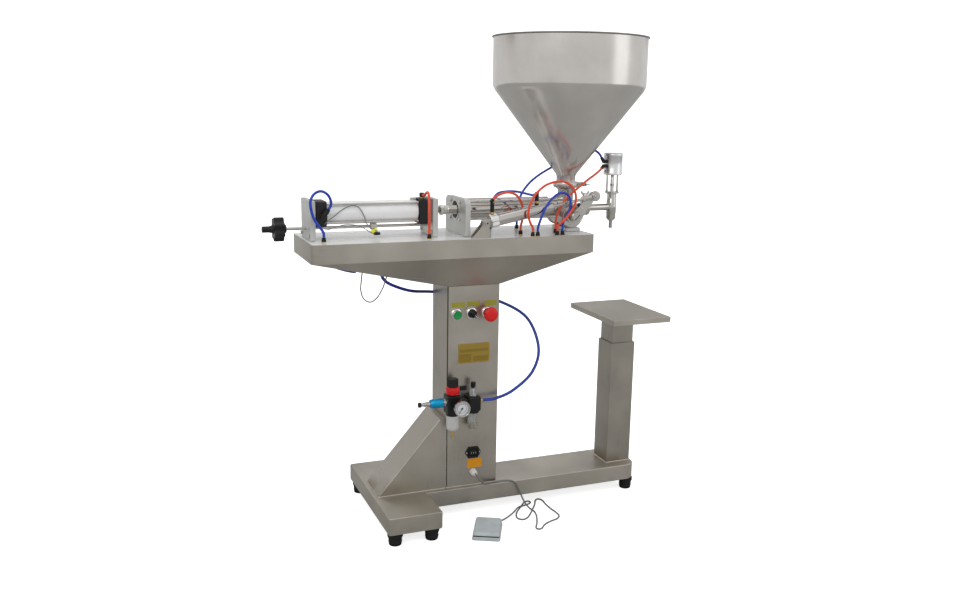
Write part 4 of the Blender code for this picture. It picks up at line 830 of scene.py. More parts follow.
def outward(outline, centre, point):
    """Where the ray from centre through point meets the outline."""
    direction = (point[0] - centre[0], point[1] - centre[1])
    best = None
    for (x1, y1), (x2, y2) in zip(outline, outline[1:] + outline[:1]):
        ex, ey = x2 - x1, y2 - y1
        det = direction[0] * -ey + direction[1] * ex
        if abs(det) < 1e-12:
            continue
        t = ((x1 - centre[0]) * -ey + (y1 - centre[1]) * ex) / det
        s = (direction[0] * (y1 - centre[1]) - direction[1] * (x1 - centre[0])) / det
        if t > 0 and -1e-9 <= s <= 1 + 1e-9 and (best is None or t < best):
            best = t
    return centre[0] + best * direction[0], centre[1] + best * direction[1]


def build_stroke_setting():
    lobes, root, tip = 7, 0.0252, 0.031
    outline = []
    for i in range(lobes * 16):
        angle = 2 * math.pi * i / (lobes * 16)
        radius = (root + tip) / 2 + (tip - root) / 2 * math.cos(lobes * angle)
        outline.append((radius * math.cos(angle), SCREW[2] + radius * math.sin(angle)))
    body = "stroke_screw"
    knob = plate("stroke_handwheel", outline, -0.518, -0.492, SIDEWAYS, BLACK, body, 0.003, 4)
    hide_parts("stroke_knob")
    boss = [(0, -0.486), (0.01, -0.486), (0.013, -0.4925), (0.013, -0.5175), (0.01, -0.52), (0.0086, -0.526),
            (0.008, -0.529), (0.008, -0.5445), (0.007, -0.5456), (0, -0.5456)]
    lathe("handwheel_boss", SCREW, X, boss, BLACK, body, 48)
    rod("stroke_spindle", SCREW, X, 0.004, -0.488, -0.115, TURNED_X, body, 32)
    body = "sensor_slide"
    carriage = block("sensor_clamp", (-0.268, -0.008, 0.799), (-0.252, 0.008, 0.8155), PALE_ALLOY, body,
                     0.0014, slot="black_plastic")
    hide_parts("sensor_carriage")
    rod("sensor_clamp_screw", (-0.26, 0, 0.801), Y, 0.0026, -0.011, -0.0075, BLACK_ALLOY, body, 24,
        slot="black_plastic")
    block("sensor_arm", (-0.263, -0.033, 0.79), (-0.257, 0.006, 0.7995), PALE_ALLOY, body, 0.0008,
          slot="black_plastic")
    block("sensor_head", (-0.268, -0.0395, 0.7888), (-0.252, -0.029, 0.796), BLACK, body, 0.0012)
    turn = Matrix.Rotation(math.radians(-28), 3, "Y")
    block("sensor_tag", (-0.009, -0.0007, -0.0045), (0.009, 0.0007, 0.0045), YELLOW_TAG, body, 0.0004,
          (-0.269, -0.0392, 0.801), turn)


# ---------- valve, crank and actuator ----------

VALVE_X, VALVE_Z = 0.292, 0.823
VALVE = (VALVE_X, 0, VALVE_Z)
PIN = Vector((0.3406, 0, 0.8815))
ACTUATOR_Y = -0.09
PIVOT = Vector((0.0174, ACTUATOR_Y, 0.8183))
HOPPER_X = 0.294
NOZZLE_X = 0.442
PIPE_Z = 0.8405


def build_valve():
    profile = [(0, 0.052), (0.03, 0.052), (0.032, 0.05), (0.032, 0.04), (0.0295, 0.0385), (0.0295, -0.0385),
               (0.032, -0.04), (0.032, -0.05), (0.03, -0.052), (0, -0.052)]
    housing = lathe("valve_housing", VALVE, Y, profile, TURNED_Y, MACHINE, 96)
    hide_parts("valve_body")
    neck = [(0.0165, 0.904), (0.029, 0.904), (0.03, 0.903), (0.03, 0.899), (0.024, 0.8955), (0.0215, 0.892),
            (0.0215, 0.845), (0.0165, 0.845)]
    lathe("valve_throat", (HOPPER_X, 0, 0), Z, neck, TURNED_Z, MACHINE, 72, closed=True)
    outlet = [(0.008, 0.348), (0.015, 0.348), (0.0155, 0.3475), (0.0155, 0.344), (0.0125, 0.3405),
              (0.0125, 0.31), (0.008, 0.31)]
    lathe("valve_outlet", (0, 0, PIPE_Z), X, outlet, TURNED_X, MACHINE, 72, closed=True)
    flange = [(0, 0.285), (0.0285, 0.285), (0.03, 0.2835), (0.03, 0.2605), (0.029, 0.2593), (0, 0.2593)]
    lathe("valve_inlet_flange", AXIS, X, flange, TURNED_X, MACHINE, 72)
    rest = block("valve_rest", (0.278, -0.045, TABLE_TOP + 0.0003), (0.321, 0.045, VALVE_Z - 0.0325),
                 PALE_ALLOY, MACHINE, 0.0014)
    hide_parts("valve_support")
    for number in range(6):
        angle = 2 * math.pi * number / 6 + 0.3
        at = (VALVE_X + 0.025 * math.cos(angle), 0, VALVE_Z + 0.025 * math.sin(angle))
        rod(f"valve_cover_screw_{number}", at, Y, 0.003, -0.0545, -0.0515, POLISHED, MACHINE, 24)
    body = "valve_crank"
    plug = lathe("valve_spindle", VALVE, Y, [(0, 0.043), (0.0178, 0.043), (0.0178, -0.055), (0.015, -0.0562),
                                             (0.0085, -0.0562), (0.0085, -0.0705), (0, -0.0705)], TURNED_Y,
                 body, 72)
    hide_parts("valve_plug")


def build_crank():
    body = "valve_crank"
    reach = math.hypot(PIN.x - VALVE_X, PIN.z - VALVE_Z)
    angle = math.atan2(PIN.z - VALVE_Z, PIN.x - VALVE_X)
    points = arc((0, 0), 0.0162, 70, 290, 24) + arc((reach, 0), 0.011, -80, 80, 18)
    outline = [(VALVE_X + x * math.cos(angle) - y * math.sin(angle), VALVE_Z + x * math.sin(angle) + y
                * math.cos(angle)) for x, y in points]
    lever = plate("crank_arm", outline, -0.077, -0.071, UPRIGHT, POLISHED, body, 0.0012, 3, 30)
    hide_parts("crank_lever")
    disc = [(0, -0.0762), (0.0165, -0.0762), (0.0165, -0.0818), (0.0153, -0.083), (0.014, -0.083),
            (0.013, -0.0822), (0, -0.0822)]
    lathe("crank_disc", VALVE, Y, disc, TURNED_Y, body, 72)
    # Painted shade: a thin dark bar stands in for the shade inside the disc's slot.
    turn = Matrix.Rotation(math.radians(-45), 3, "Y")
    block("crank_disc_slot_shade", (-0.0105, -0.0826, -0.0011), (0.0105, -0.0815, 0.0011), INK_AND_SHADE, body, 0.0, VALVE,
          turn, slot=SHINE_SLOT)
    pin = (PIN.x, 0, PIN.z)
    rod("crank_pin", pin, Y, 0.003, -0.0975, -0.072, TURNED_Y, body, 32)
    rod("crank_pin_washer", pin, Y, 0.0108, -0.0962, -0.0942, POLISHED, body, 48)
    hexagon("crank_pin_nut", pin, Y, 0.0115, -0.0988, -0.096, POLISHED, body)
    hexagon("crank_pin_back_nut", pin, Y, 0.013, -0.0712, -0.066, POLISHED, body)
    direction = Vector((math.cos(angle), 0, math.sin(angle)))
    clamp = Vector(VALVE) + direction * 0.03 + Vector((0, -0.074, 0))
    side = Vector((-direction.z, 0, direction.x))
    rod("crank_clamp_screw", clamp, side, 0.0034, -0.005, 0.0185, POLISHED, body, 24)
    rod("crank_clamp_head", clamp, side, 0.0052, 0.014, 0.02, BLACK_ALLOY, body, 32, slot=SHINE_SLOT)


def build_actuator():
    base = TABLE_TOP + 0.0003
    ear = [(-0.0215, base), (0.0247, base), (PIVOT.x + 0.0085, PIVOT.z)]
    ear += arc((PIVOT.x, PIVOT.z), 0.0085, 0, 180, 14) + [(PIVOT.x - 0.012, PIVOT.z - 0.006)]
    for number, y in enumerate((ACTUATOR_Y - 0.0105, ACTUATOR_Y + 0.0105)):
        cheek = plate(f"clevis_cheek_{number}", ear, y - 0.0015, y + 0.0015, UPRIGHT, SHEET_X, MACHINE,
                      0.0005)
        if number == 0:
            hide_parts("actuator_bracket")
    block("clevis_foot", (-0.0215, ACTUATOR_Y - 0.0092, base), (0.0247, ACTUATOR_Y + 0.0092, base + 0.003),
          SHEET_X, MACHINE, 0.0003)
    at = (PIVOT.x, 0, PIVOT.z)
    rod("clevis_pin", at, Y, 0.003, ACTUATOR_Y - 0.016, ACTUATOR_Y + 0.016, TURNED_Y, MACHINE, 32)
    rod("clevis_pin_head", at, Y, 0.0052, ACTUATOR_Y - 0.016, ACTUATOR_Y - 0.0122, TURNED_Y, MACHINE, 32)
    body = "valve_actuator"
    along = Vector((PIN.x, ACTUATOR_Y, PIN.z)) - PIVOT
    reach = along.length
    along.normalize()
    profile = [(0.005, 0.199), (0.0092, 0.199), (0.01, 0.1982), (0.01, 0.193), (0.016, 0.193),
               (0.0172, 0.192), (0.0172, 0.18), (0.0164, 0.1785), (0.016, 0.178), (0.016, 0.0385),
               (0.0166, 0.038), (0.0168, 0.037), (0.0168, 0.015), (0.0156, 0.013), (0, 0.013)]
    barrel = lathe("actuator_tube", PIVOT, along, profile, TURNED_X, body, 72)
    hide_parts("actuator_barrel")
    # Painted shade: a dark rod fills the tube's bore where shade falls.
    rod("actuator_tube_bore_shade", PIVOT, along, 0.0052, 0.06, 0.196, INK_AND_SHADE, body, 24, slot=SHINE_SLOT)
    hexagon("actuator_rear_nut", PIVOT, along, 0.0335, 0.014, 0.034, WHITE_ALLOY, body, 0.0016)
    turn = X.rotation_difference(along).to_matrix()
    block("actuator_tail", (-0.007, -0.0078, -0.007), (0.016, 0.0078, 0.007), PALE_ALLOY, body, 0.0012, PIVOT,
          turn)
    for name, x, low, high in (("rear", 0.036, 0.833, 0.87), ("front", 0.164, 0.852, 0.896)):
        rod(f"actuator_{name}_fitting", (x, ACTUATOR_Y, 0), Z, 0.0054, low, high, BLACK, body, 32)
        hexagon(f"actuator_{name}_fitting_hex", (x, ACTUATOR_Y, 0), Z, 0.0108, high - 0.03, high - 0.024,
                BRASS, body)
    for name, route in (("rear", ACTUATOR_REAR_ROUTE), ("front", ACTUATOR_FRONT_ROUTE)):
        end, before = Vector(route[-1]), Vector(route[-2])
        rod(f"actuator_{name}_arm", end, end - before, 0.0048, 0.0, 0.0095, BLACK, body, 32)
    body = "actuator_fork"
    centre = PIVOT + along * reach
    rod("actuator_shank", PIVOT, along, 0.004, 0.1, reach - 0.014, TURNED_X, body, 32)
    hexagon("actuator_shank_nut", PIVOT, along, 0.0148, reach - 0.042, reach - 0.035, POLISHED, body)
    rod("actuator_eye_neck", PIVOT, along, 0.0072, reach - 0.035, reach - 0.013, TURNED_X, body, 32)
    eye = lathe("actuator_eye", centre, Y, [(0.014, 0.0024), (0.014, -0.0024), (0.0133, -0.00275),
                                            (0.0092, -0.00275), (0.0092, 0.00275), (0.0133, 0.00275)],
                POLISHED, body, 64, closed=True)
    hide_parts("actuator_rod")


# ---------- hopper and nozzle ----------

def build_hopper():
    radius, top, shoulder, cone = 0.209, 1.304, 1.167, 0.933
    neck, wall, rim = 0.0264, 0.0018, 0.004
    outer = [(radius, top - 2 * rim)]
    outer += [(radius, shoulder + 0.012), (radius - 0.0006, shoulder + 0.006), (radius - 0.003, shoulder)]
    outer += [(radius - 0.0075, shoulder - 0.008), (neck + 0.004, cone + 0.0055), (neck + 0.001, cone),
              (neck, cone - 0.003), (neck, 0.9165), (0.029, 0.914), (0.031, 0.912), (0.031, 0.9085)]
    inner = [(0.0165, 0.9085), (0.0175, 0.913), (neck - wall, 0.92), (neck - wall, cone + 0.001),
             (radius - 0.0075 - wall, shoulder - 0.0065), (radius - wall - 0.001, shoulder + 0.006),
             (radius - wall, shoulder + 0.012), (radius - wall, top - 0.0008), (radius - wall + 0.0008, top)]
    half = rim / 2
    bead = [(radius + 0.001, top), *arc((radius + half, top - half), half, 60, -90, 5),
            (radius + 0.0012, top - rim - 0.0004)]
    mouth = top - 0.002
    wall_profile = [(radius, mouth), *outer, *inner[:-2], (radius - wall, mouth)]
    bowl = lathe("hopper_bowl", (HOPPER_X, 0, 0), Z, wall_profile, HOPPER_SATIN, MACHINE, 160, closed=True)
    # The rim and its bead take the dark steel: painted shade under the rolled edge.
    lathe("hopper_rim", (HOPPER_X, 0, 0), Z, [(radius - wall, top - 0.003), *inner[-1:], *bead], SHADED_RIM_STEEL,
          MACHINE, 160, closed=True)
    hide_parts("hopper")
    heights = (shoulder + 0.008, 1.22, 1.26, top - 0.009)
    weld_bead("hopper_seam", [(HOPPER_X + 0.0002, radius + 0.0002, z) for z in heights], 0.0008)
    ring = [(0.035, 0.911), (0.0342, 0.9135), (0.0313, 0.915), (0.0313, 0.899), (0.0342, 0.9005),
            (0.035, 0.903)]
    clamp = lathe("hopper_clamp_ring", (HOPPER_X, 0, 0), Z, ring, POLISHED, MACHINE, 96, closed=True)
    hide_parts("hopper_clamp")
    block("hopper_clamp_lug", (HOPPER_X + 0.033, -0.012, 0.901), (HOPPER_X + 0.056, -0.007, 0.913), POLISHED,
          MACHINE, 0.0014)
    block("hopper_clamp_lug_back", (HOPPER_X + 0.033, -0.004, 0.901), (HOPPER_X + 0.054, 0.001, 0.913),
          POLISHED, MACHINE, 0.0014)
    rod("hopper_clamp_screw", (HOPPER_X + 0.0505, 0, 0.907), Y, 0.0026, -0.013, 0.003, TURNED_Y, MACHINE, 24)
    wing_nut("hopper_nut", (HOPPER_X + 0.0505, -0.0123, 0.907), -Y, "hopper_nut", "hopper_wing_nut")


def wing_nut(name, at, axis, body, node):
    """A wing nut: turned hub and two ears that rise and round off."""
    hub = lathe(name + "_hub", at, axis, [(0.0026, 0.011), (0.0044, 0.011), (0.005, 0.0102), (0.0062, 0.0006),
                                          (0.0058, 0), (0.0026, 0)], POLISHED, body, 40, closed=True)
    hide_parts(node)
    place = frame_at(at, axis)
    tip = arc((0.0105, 0.013), 0.0035, -60, 140, 12)
    ear = [(0.0035, 0.0025), (0.006, 0.0025), *tip, (0.0045, 0.0095)]
    for side in (-1, 1):
        rings = [[place @ Vector((side * x, y, z)) for x, z in ear] for y in (-0.0011, 0.0011)]
        label = "a" if side < 0 else "b"
        piece(f"{name}_ear_{label}", skinned(name, rings), POLISHED, body, 0.0005)


def build_nozzle():
    axis = (NOZZLE_X, 0, 0)
    pipe = [(0.0065, 0.434), (0.0095, 0.434), (0.0095, 0.371), (0.0105, 0.3695), (0.015, 0.368),
            (0.0155, 0.3675), (0.0155, 0.364), (0.0065, 0.364)]
    lathe("outlet_pipe", (0, 0, PIPE_Z), X, pipe, TURNED_X, MACHINE, 64, closed=True)
    ring = [(0.0215, 0.362), (0.0205, 0.364), (0.0162, 0.364), (0.0162, 0.348), (0.0205, 0.348),
            (0.0215, 0.35)]
    clamp = lathe("outlet_clamp_ring", (0, 0, PIPE_Z), X, ring, POLISHED, MACHINE, 72, closed=True)
    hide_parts("outlet_clamp")
    for name, y in (("front", -0.006), ("back", 0.0015)):
        block(f"outlet_lug_{name}", (0.35, y, PIPE_Z + 0.019), (0.362, y + 0.0045, PIPE_Z + 0.03), POLISHED,
              MACHINE, 0.0012)
    wing_nut("outlet_nut", (0.356, 0, PIPE_Z + 0.0303), Z, "outlet_nut", "outlet_wing_nut")
    body = [(0.0192, 0.884), (0.02, 0.8832), (0.02, 0.8798), (0.0192, 0.879), (0.014, 0.8785),
            (0.0132, 0.8775), (0.0132, 0.858), (0.0138, 0.857), (0.0138, 0.823), (0.0132, 0.822),
            (0.0132, 0.8085), (0.012, 0.806), (0.006, 0.801), (0.005, 0.799), (0.005, 0.7805),
            (0.0045, TABLE_TOP), (0.0035, TABLE_TOP), (0.0035, 0.808), (0.0095, 0.816), (0.0095, 0.87),
            (0.0055, 0.872), (0.0055, 0.884)]
    nozzle = lathe("nozzle_tube", axis, Z, body, TURNED_Z, MACHINE, 72, closed=True)
    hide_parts("nozzle_body")
    head = [(0, 0.993), (0.0246, 0.993), (0.0258, 0.9924), (0.0265, 0.9912), (0.0265, 0.984),
            (0.0262, 0.9835), (0.0262, 0.9405), (0.0265, 0.94), (0.0265, 0.9338), (0.025, 0.932),
            (0.0056, 0.932), (0.0056, 0.96), (0, 0.96)]
    cylinder = lathe("nozzle_actuator", axis, Z, head, PALE_TURNED, MACHINE, 96)
    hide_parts("nozzle_cylinder")
    for side in (-1, 1):
        label = "left" if side < 0 else "right"
        at = (NOZZLE_X + side * 0.0165, 0, 0)
        rod(f"nozzle_post_{label}", at, Z, 0.0028, 0.8843, 0.933, TURNED_Z, MACHINE, 32)
        hexagon(f"nozzle_post_nut_{label}", at, Z, 0.0072, 0.8843, 0.8885, POLISHED, MACHINE)
        rod(f"nozzle_cap_screw_{label}", at, Z, 0.003, 0.9922, 0.993, BLACK_ALLOY, MACHINE, 24,
            slot=SHINE_SLOT)
    for name, route, z in (("blue", NOZZLE_BLUE_ROUTE, 0.97), ("red", NOZZLE_RED_ROUTE, 0.957)):
        start, following = Vector(route[0]), Vector(route[1])
        rod(f"nozzle_{name}_fitting", (0, -0.009, z), X, 0.005, 0.403, 0.42, BLACK, MACHINE, 32)
        rod(f"nozzle_{name}_arm", start, following - start, 0.0047, -0.013, 0.0, BLACK, MACHINE, 32)
    plunger = [(0, 0.945), (0.0045, 0.945), (0.005, 0.944), (0.005, 0.826), (0.003, 0.824), (0.003, 0.7835),
               (0.0025, 0.783), (0, 0.783)]
    stem = lathe("nozzle_stem", axis, Z, plunger, TURNED_Z, "plunger", 40)
    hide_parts("nozzle_plunger")
    hexagon("nozzle_stem_nut", axis, Z, 0.012, 0.9, 0.906, POLISHED, "plunger")


# ---------- controls, air service unit and pedal ----------

BUTTON_Z = 0.5715
START_X, SELECTOR_X, STOP_X = -0.0505, -0.0065, 0.038
FACE = -COLUMN_Y


def build_controls():
    bezel = [(0.0156, 0.0), (0.0156, 0.003), (0.0148, 0.0052), (0.0128, 0.0064), (0.0117, 0.0062),
             (0.0115, 0.0)]
    for number, x in enumerate((START_X, SELECTOR_X, STOP_X)):
        lathe(f"button_bezel_{number}", (x, FACE, BUTTON_Z), -Y, bezel, CHROME, MACHINE, 64, closed=True)
        rod(f"button_well_{number}", (x, FACE, BUTTON_Z), -Y, 0.0118, -0.001, 0.003, BLACK, MACHINE)
    face = FACE - 0.0003
    cap = [(0, 0.0152), (0.006, 0.0155), (0.0092, 0.0165), (0.0103, 0.0163), (0.011, 0.0152), (0.011, 0.005),
           (0, 0.005)]
    start = lathe("green_cap", (START_X, face, BUTTON_Z), -Y, cap, GREEN, "start", 64)
    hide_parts("start_button")
    ring = [(0.0122, 0.0062), (0.0122, 0.013), (0.0115, 0.0136), (0.0112, 0.013), (0.0112, 0.0062)]
    lathe("green_cap_ring", (START_X, face, BUTTON_Z), -Y, ring, POLISHED, MACHINE, 64, closed=True)
    disc = [(0, 0.014), (0.01, 0.014), (0.011, 0.0128), (0.011, 0.001), (0, 0.001)]
    knob = lathe("selector_disc", (SELECTOR_X, face, BUTTON_Z), -Y, disc, BLACK, "selector", 64)
    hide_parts("selector_knob")
    turn = Matrix.Rotation(math.radians(45), 3, "Y")
    at = (SELECTOR_X, face, BUTTON_Z)
    block("selector_grip", (-0.0108, -0.0258, -0.0032), (0.0108, -0.013, 0.0032), BLACK, "selector", 0.0016,
          at, turn, 3)
    block("selector_pointer", (0.002, -0.0262, -0.0009), (0.0112, -0.015, 0.0009), WHITE, "selector", 0.0004,
          at, turn)
    stop = [(0, 0.04), (0.007, 0.0397), (0.013, 0.0386), (0.0176, 0.0366), (0.0196, 0.034), (0.02, 0.0315),
            (0.0197, 0.0292), (0.0185, 0.0278), (0.013, 0.0262), (0.0112, 0.024), (0.0108, 0.022),
            (0.0108, 0.0065), (0, 0.0065)]
    mushroom = lathe("red_mushroom", (STOP_X, face, BUTTON_Z), -Y, stop, RED, "stop", 72)
    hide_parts("stop_button")
    labels = ((-0.0625, -0.0253, 0.59, 0.603), (-0.0175, 0.0173, 0.591, 0.604), (0.031, 0.066, 0.59, 0.604))
    for number, (left, right, low, high) in enumerate(labels):
        block(f"button_label_{number}", (left, FACE - 0.0007, low), (right, FACE + 0.0002, high), LABEL_GREEN,
              MACHINE, 0.0003)
        block(f"button_label_line_{number}", (left + 0.004, FACE - 0.0009, (low + high) / 2 - 0.0022),
              (right - 0.004, FACE - 0.0003, (low + high) / 2 + 0.0022), INK_SOFT, MACHINE, 0.0)
    block("nameplate", (-0.043, FACE - 0.0008, 0.433), (0.048, FACE + 0.0002, 0.488), GOLD_PLATE, MACHINE,
          0.0004)
    panels = ((-0.04, -0.005, 0.436, 0.459), (0.0, 0.044, 0.437, 0.452), (-0.038, 0.043, 0.464, 0.472))
    for number, (left, right, low, high) in enumerate(panels):
        block(f"nameplate_panel_{number}", (left, FACE - 0.001, low), (right, FACE - 0.0004, high), GOLD_DARK,
              MACHINE, 0.0001)
    for number, (x, z) in enumerate(((-0.0405, 0.4855), (0.0455, 0.4855), (-0.0405, 0.4355),
                                     (0.0455, 0.4355))):
        rod(f"nameplate_rivet_{number}", (x, FACE, z), -Y, 0.0013, 0.0, 0.0016, BRASS, MACHINE, 20,
            slot="pale_alloy")


SERVICE_Y = -0.083
GAUGE = Vector((-0.056, -0.1235, 0.329))


def build_air_service():
    y = SERVICE_Y
    black = (BLACK, MACHINE)
    body = block("filter_body", (-0.085, y - 0.017, 0.303), (-0.049, FACE - 0.0005, 0.356), *black, 0.004,
                 segments=3)
    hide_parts("air_service_unit")
    block("service_spacer", (-0.0495, y - 0.011, 0.314), (-0.0245, FACE - 0.0005, 0.341), *black, 0.0012)
    block("lubricator_body", (-0.025, y - 0.017, 0.306), (0.011, FACE - 0.0005, 0.348), *black, 0.005,
          segments=3)
    rod("filter_cap_ring", (-0.066, y, 0), Z, 0.0178, 0.2985, 0.306, *black)
    rod("lubricator_cap_ring", (-0.007, y, 0), Z, 0.017, 0.301, 0.308, *black)
    bowl = [(0, 0.3), (0.017, 0.3), (0.0172, 0.29), (0.0164, 0.263), (0.015, 0.2585), (0.012, 0.256),
            (0, 0.255)]
    lathe("filter_bowl", (-0.066, y, 0), Z, bowl, FROSTED, MACHINE, 64)
    for number in range(4):
        angle = math.pi * (number / 2 + 0.25)
        at = (-0.066 + 0.0163 * math.cos(angle), y + 0.0163 * math.sin(angle), 0)
        rod(f"filter_bowl_rib_{number}", at, Z, 0.0014, 0.262, 0.299, FROSTED, MACHINE, 16)
    lathe("filter_drain", (-0.066, y, 0), Z, [(0, 0.254), (0.0052, 0.254), (0.0052, 0.249), (0.003, 0.248),
                                              (0.003, 0.24), (0.0036, 0.2395), (0.0036, 0.2345), (0, 0.234)],
          BRASS, MACHINE, 32)
    bowl = [(0.014, 0.302), (0.014, 0.261), (0.0128, 0.257), (0.009, 0.2545), (0, 0.254)]
    lathe("oil_bowl", (-0.007, y, 0), Z, bowl, CLEAR, MACHINE, 48)
    rod("oil_level", (-0.007, y, 0), Z, 0.0125, 0.256, 0.27, OIL, MACHINE, 40)
    rod("oil_pick_up", (-0.004, y, 0), Z, 0.0014, 0.258, 0.3, WHITE, MACHINE, 16)
    lathe("oil_drain", (-0.007, y, 0), Z, [(0, 0.256), (0.0042, 0.256), (0.0042, 0.2545), (0, 0.254)], WHITE,
          MACHINE, 24)
    ribs = 24
    knob = [(0, 0.401), (0.0132, 0.4008), (0.0146, 0.3995), (0.0148, 0.379), (0.015, 0.378), (0, 0.378)]
    top = lathe("regulator_grip", (-0.066, y, 0), Z, knob, BLACK, "regulator", 144,
                ripple=lambda a: 0.0004 * math.cos(ribs * a))
    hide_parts("regulator_knob")
    lathe("regulator_red_ring", (-0.066, y, 0), Z, [(0.015, 0.3785), (0.0178, 0.3775), (0.0185, 0.3755),
                                                    (0.0185, 0.36), (0.0178, 0.3585), (0.015, 0.358)], RED,
          "regulator", 64, closed=True)
    rod("regulator_neck", (-0.066, y, 0), Z, 0.0148, 0.3563, 0.379, BLACK, "regulator")
    dome = [(0, 0.37), (0.005, 0.3698), (0.0085, 0.367), (0.01, 0.362), (0.01, 0.35), (0.0095, 0.3483),
            (0, 0.3483)]
    sight = lathe("lubricator_sight", (-0.007, y, 0), Z, dome, CLEAR, "lubricator", 48)
    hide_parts("lubricator_knob")
    rod("lubricator_drip_tube", (-0.007, y, 0), Z, 0.0022, 0.349, 0.369, WHITE, "lubricator", 20)
    lathe("lubricator_screw", (-0.007, y, 0), Z, [(0, 0.386), (0.0055, 0.3858), (0.0066, 0.3846),
                                                  (0.0066, 0.3735), (0.0058, 0.372), (0.004, 0.3715),
                                                  (0.004, 0.369), (0, 0.369)], BLACK, "lubricator", 48,
          ripple=lambda a: 0.0002 * math.cos(14 * a))
    build_gauge()
    spool = [(0, -0.08), (0.0065, -0.08), (0.0065, -0.14), (0.005, -0.1405), (0.005, -0.142),
             (0.0062, -0.1424), (0.0062, -0.147), (0.005, -0.1476), (0.005, -0.1555), (0.0056, -0.156),
             (0.0056, -0.157), (0, -0.157)]
    lathe("slide_valve_spool", (0, y, 0.336), X, spool, POLISHED, MACHINE, 40)
    rod("slide_valve_plug", (0, y, 0.336), X, 0.007, -0.163, -0.156, BLACK, MACHINE, 40)
    rod("slide_valve_seat", (0, y, 0.336), X, 0.01, -0.0885, -0.0835, POLISHED, MACHINE, 40)
    sleeve = [(0.0125, -0.0955), (0.0121, -0.094), (0.0069, -0.094), (0.0069, -0.13), (0.011, -0.13),
              (0.0118, -0.1288), (0.0118, -0.1255), (0.0125, -0.1245)]
    slider = lathe("slide_valve_ring", (0, y, 0.336), X, sleeve, CYAN, "slide_valve", 120, closed=True,
                   ripple=lambda a: 0.00012 * math.cos(40 * a))
    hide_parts("slide_valve_sleeve")
    rod("service_outlet", (0, y, 0.332), X, 0.0056, 0.0105, 0.018, BRASS, MACHINE, 32)
    hexagon("service_outlet_hex", (0, y, 0.332), X, 0.0118, 0.013, 0.02, BRASS, MACHINE)
    rod("service_outlet_collar", (0, y, 0.332), X, 0.0054, 0.0195, 0.0236, BLUE_TUBE, MACHINE, 32)
    block("service_bracket", (-0.056, FACE - 0.004, 0.358), (-0.018, FACE - 0.0002, 0.37), BLACK_ALLOY,
          MACHINE, 0.001, slot="black_plastic")


def build_gauge():
    rod("gauge_stem", (GAUGE.x, 0, GAUGE.z), Y, 0.005, -0.124, -0.09, BRASS, MACHINE, 32)
    case = [(0, 0.0), (0.0205, 0.0), (0.0218, 0.0015), (0.022, 0.006), (0.022, 0.011), (0.0214, 0.0122),
            (0.0202, 0.0125), (0.0195, 0.0118), (0.0195, 0.004), (0, 0.004)]
    lathe("gauge_case", GAUGE, -Y, case, POLISHED, MACHINE, 72)
    rod("gauge_dial", GAUGE, -Y, 0.0194, 0.0035, 0.0042, DIAL, MACHINE, 64)
    ticks = 28
    for number in range(ticks):
        angle = math.radians(225 - 270 * number / (ticks - 1))
        long = number % 3 == 0
        turn = Matrix.Rotation(-angle, 3, "Y")
        inner = 0.0148 if long else 0.0162
        block(f"gauge_tick_{number}", (inner, -0.0046, -0.00028), (0.0178, -0.0041, 0.00028), INK_AND_SHADE, MACHINE,
              0.0, GAUGE, turn)
    scale = [(0.0122, 0.0046), (0.013, 0.0046), (0.013, 0.0041), (0.0122, 0.0041)]
    lathe("gauge_scale_ring", GAUGE, -Y, scale, SCALE_BLUE, MACHINE, 72, closed=True)
    turn = Matrix.Rotation(math.radians(215), 3, "Y")
    body = "needle"
    hub = rod("needle_hub", (GAUGE.x, GAUGE.y - 0.0008, GAUGE.z), -Y, 0.0024, 0.0043, 0.0068, BLACK, body, 32)
    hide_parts("gauge_needle")
    block("needle_pointer", (-0.0006, -0.0062, -0.005), (0.0006, -0.0054, 0.016), INK_AND_SHADE, body, 0.0002,
          (GAUGE.x, GAUGE.y - 0.0008, GAUGE.z), turn)


def build_electrics():
    outline = [(-0.0195, 0.1755), (-0.01, 0.159), (0.018, 0.159), (0.0275, 0.1755), (0.018, 0.192),
               (-0.01, 0.192)]
    plate("mains_inlet_flange", outline, FACE - 0.003, FACE + 0.0005, UPRIGHT, BLACK, MACHINE, 0.001)
    middle = Vector((0.004, FACE, 0.1755))
    rim = rounded((middle.x - 0.0135, middle.z - 0.0105), (middle.x + 0.0135, middle.z + 0.0105), 0.003, 5)
    hole = rounded((middle.x - 0.0118, middle.z - 0.0088), (middle.x + 0.0118, middle.z + 0.0088), 0.002, 5)
    levels = ((rim, FACE - 0.0028), (rim, FACE - 0.0066), (hole, FACE - 0.0066), (hole, FACE - 0.001))
    rings = [[(x, y, z) for x, z in points] for points, y in levels]
    piece("mains_inlet_socket", skinned("mains_inlet_socket", rings), BLACK, MACHINE, 0.0004)
    for number, x in enumerate((-0.0065, 0, 0.0065)):
        block(f"mains_inlet_pin_{number}", (middle.x + x - 0.0008, FACE - 0.006, middle.z - 0.0025),
              (middle.x + x + 0.0008, FACE - 0.001, middle.z + 0.0025), POLISHED, MACHINE, 0.0003,
              slot="black_plastic")
    for number, x in enumerate((-0.015, 0.023)):
        rod(f"mains_inlet_screw_{number}", (x, FACE, 0.1755), -Y, 0.0022, 0.0028, 0.004, POLISHED, MACHINE,
            24, slot="black_plastic")
    block("inlet_label", (-0.0127, FACE - 0.0006, 0.131), (0.0306, FACE + 0.0002, 0.157), LABEL_ORANGE,
          MACHINE, 0.0003)
    gland = (0.004, FACE - 0.0003, 0.119)
    hexagon("gland_hex", gland, -Y, 0.0178, 0.0, 0.007, WHITE, MACHINE, 0.0008)
    nut = lathe("gland_nut", gland, -Y, [(0.0026, 0.022), (0.0056, 0.022), (0.0068, 0.0205), (0.0082, 0.015),
                                         (0.0086, 0.0135), (0.0086, 0.007), (0.0026, 0.007)], WHITE, MACHINE,
                120, closed=True, ripple=lambda a: 0.00015 * math.cos(12 * a))
    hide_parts("cable_gland")


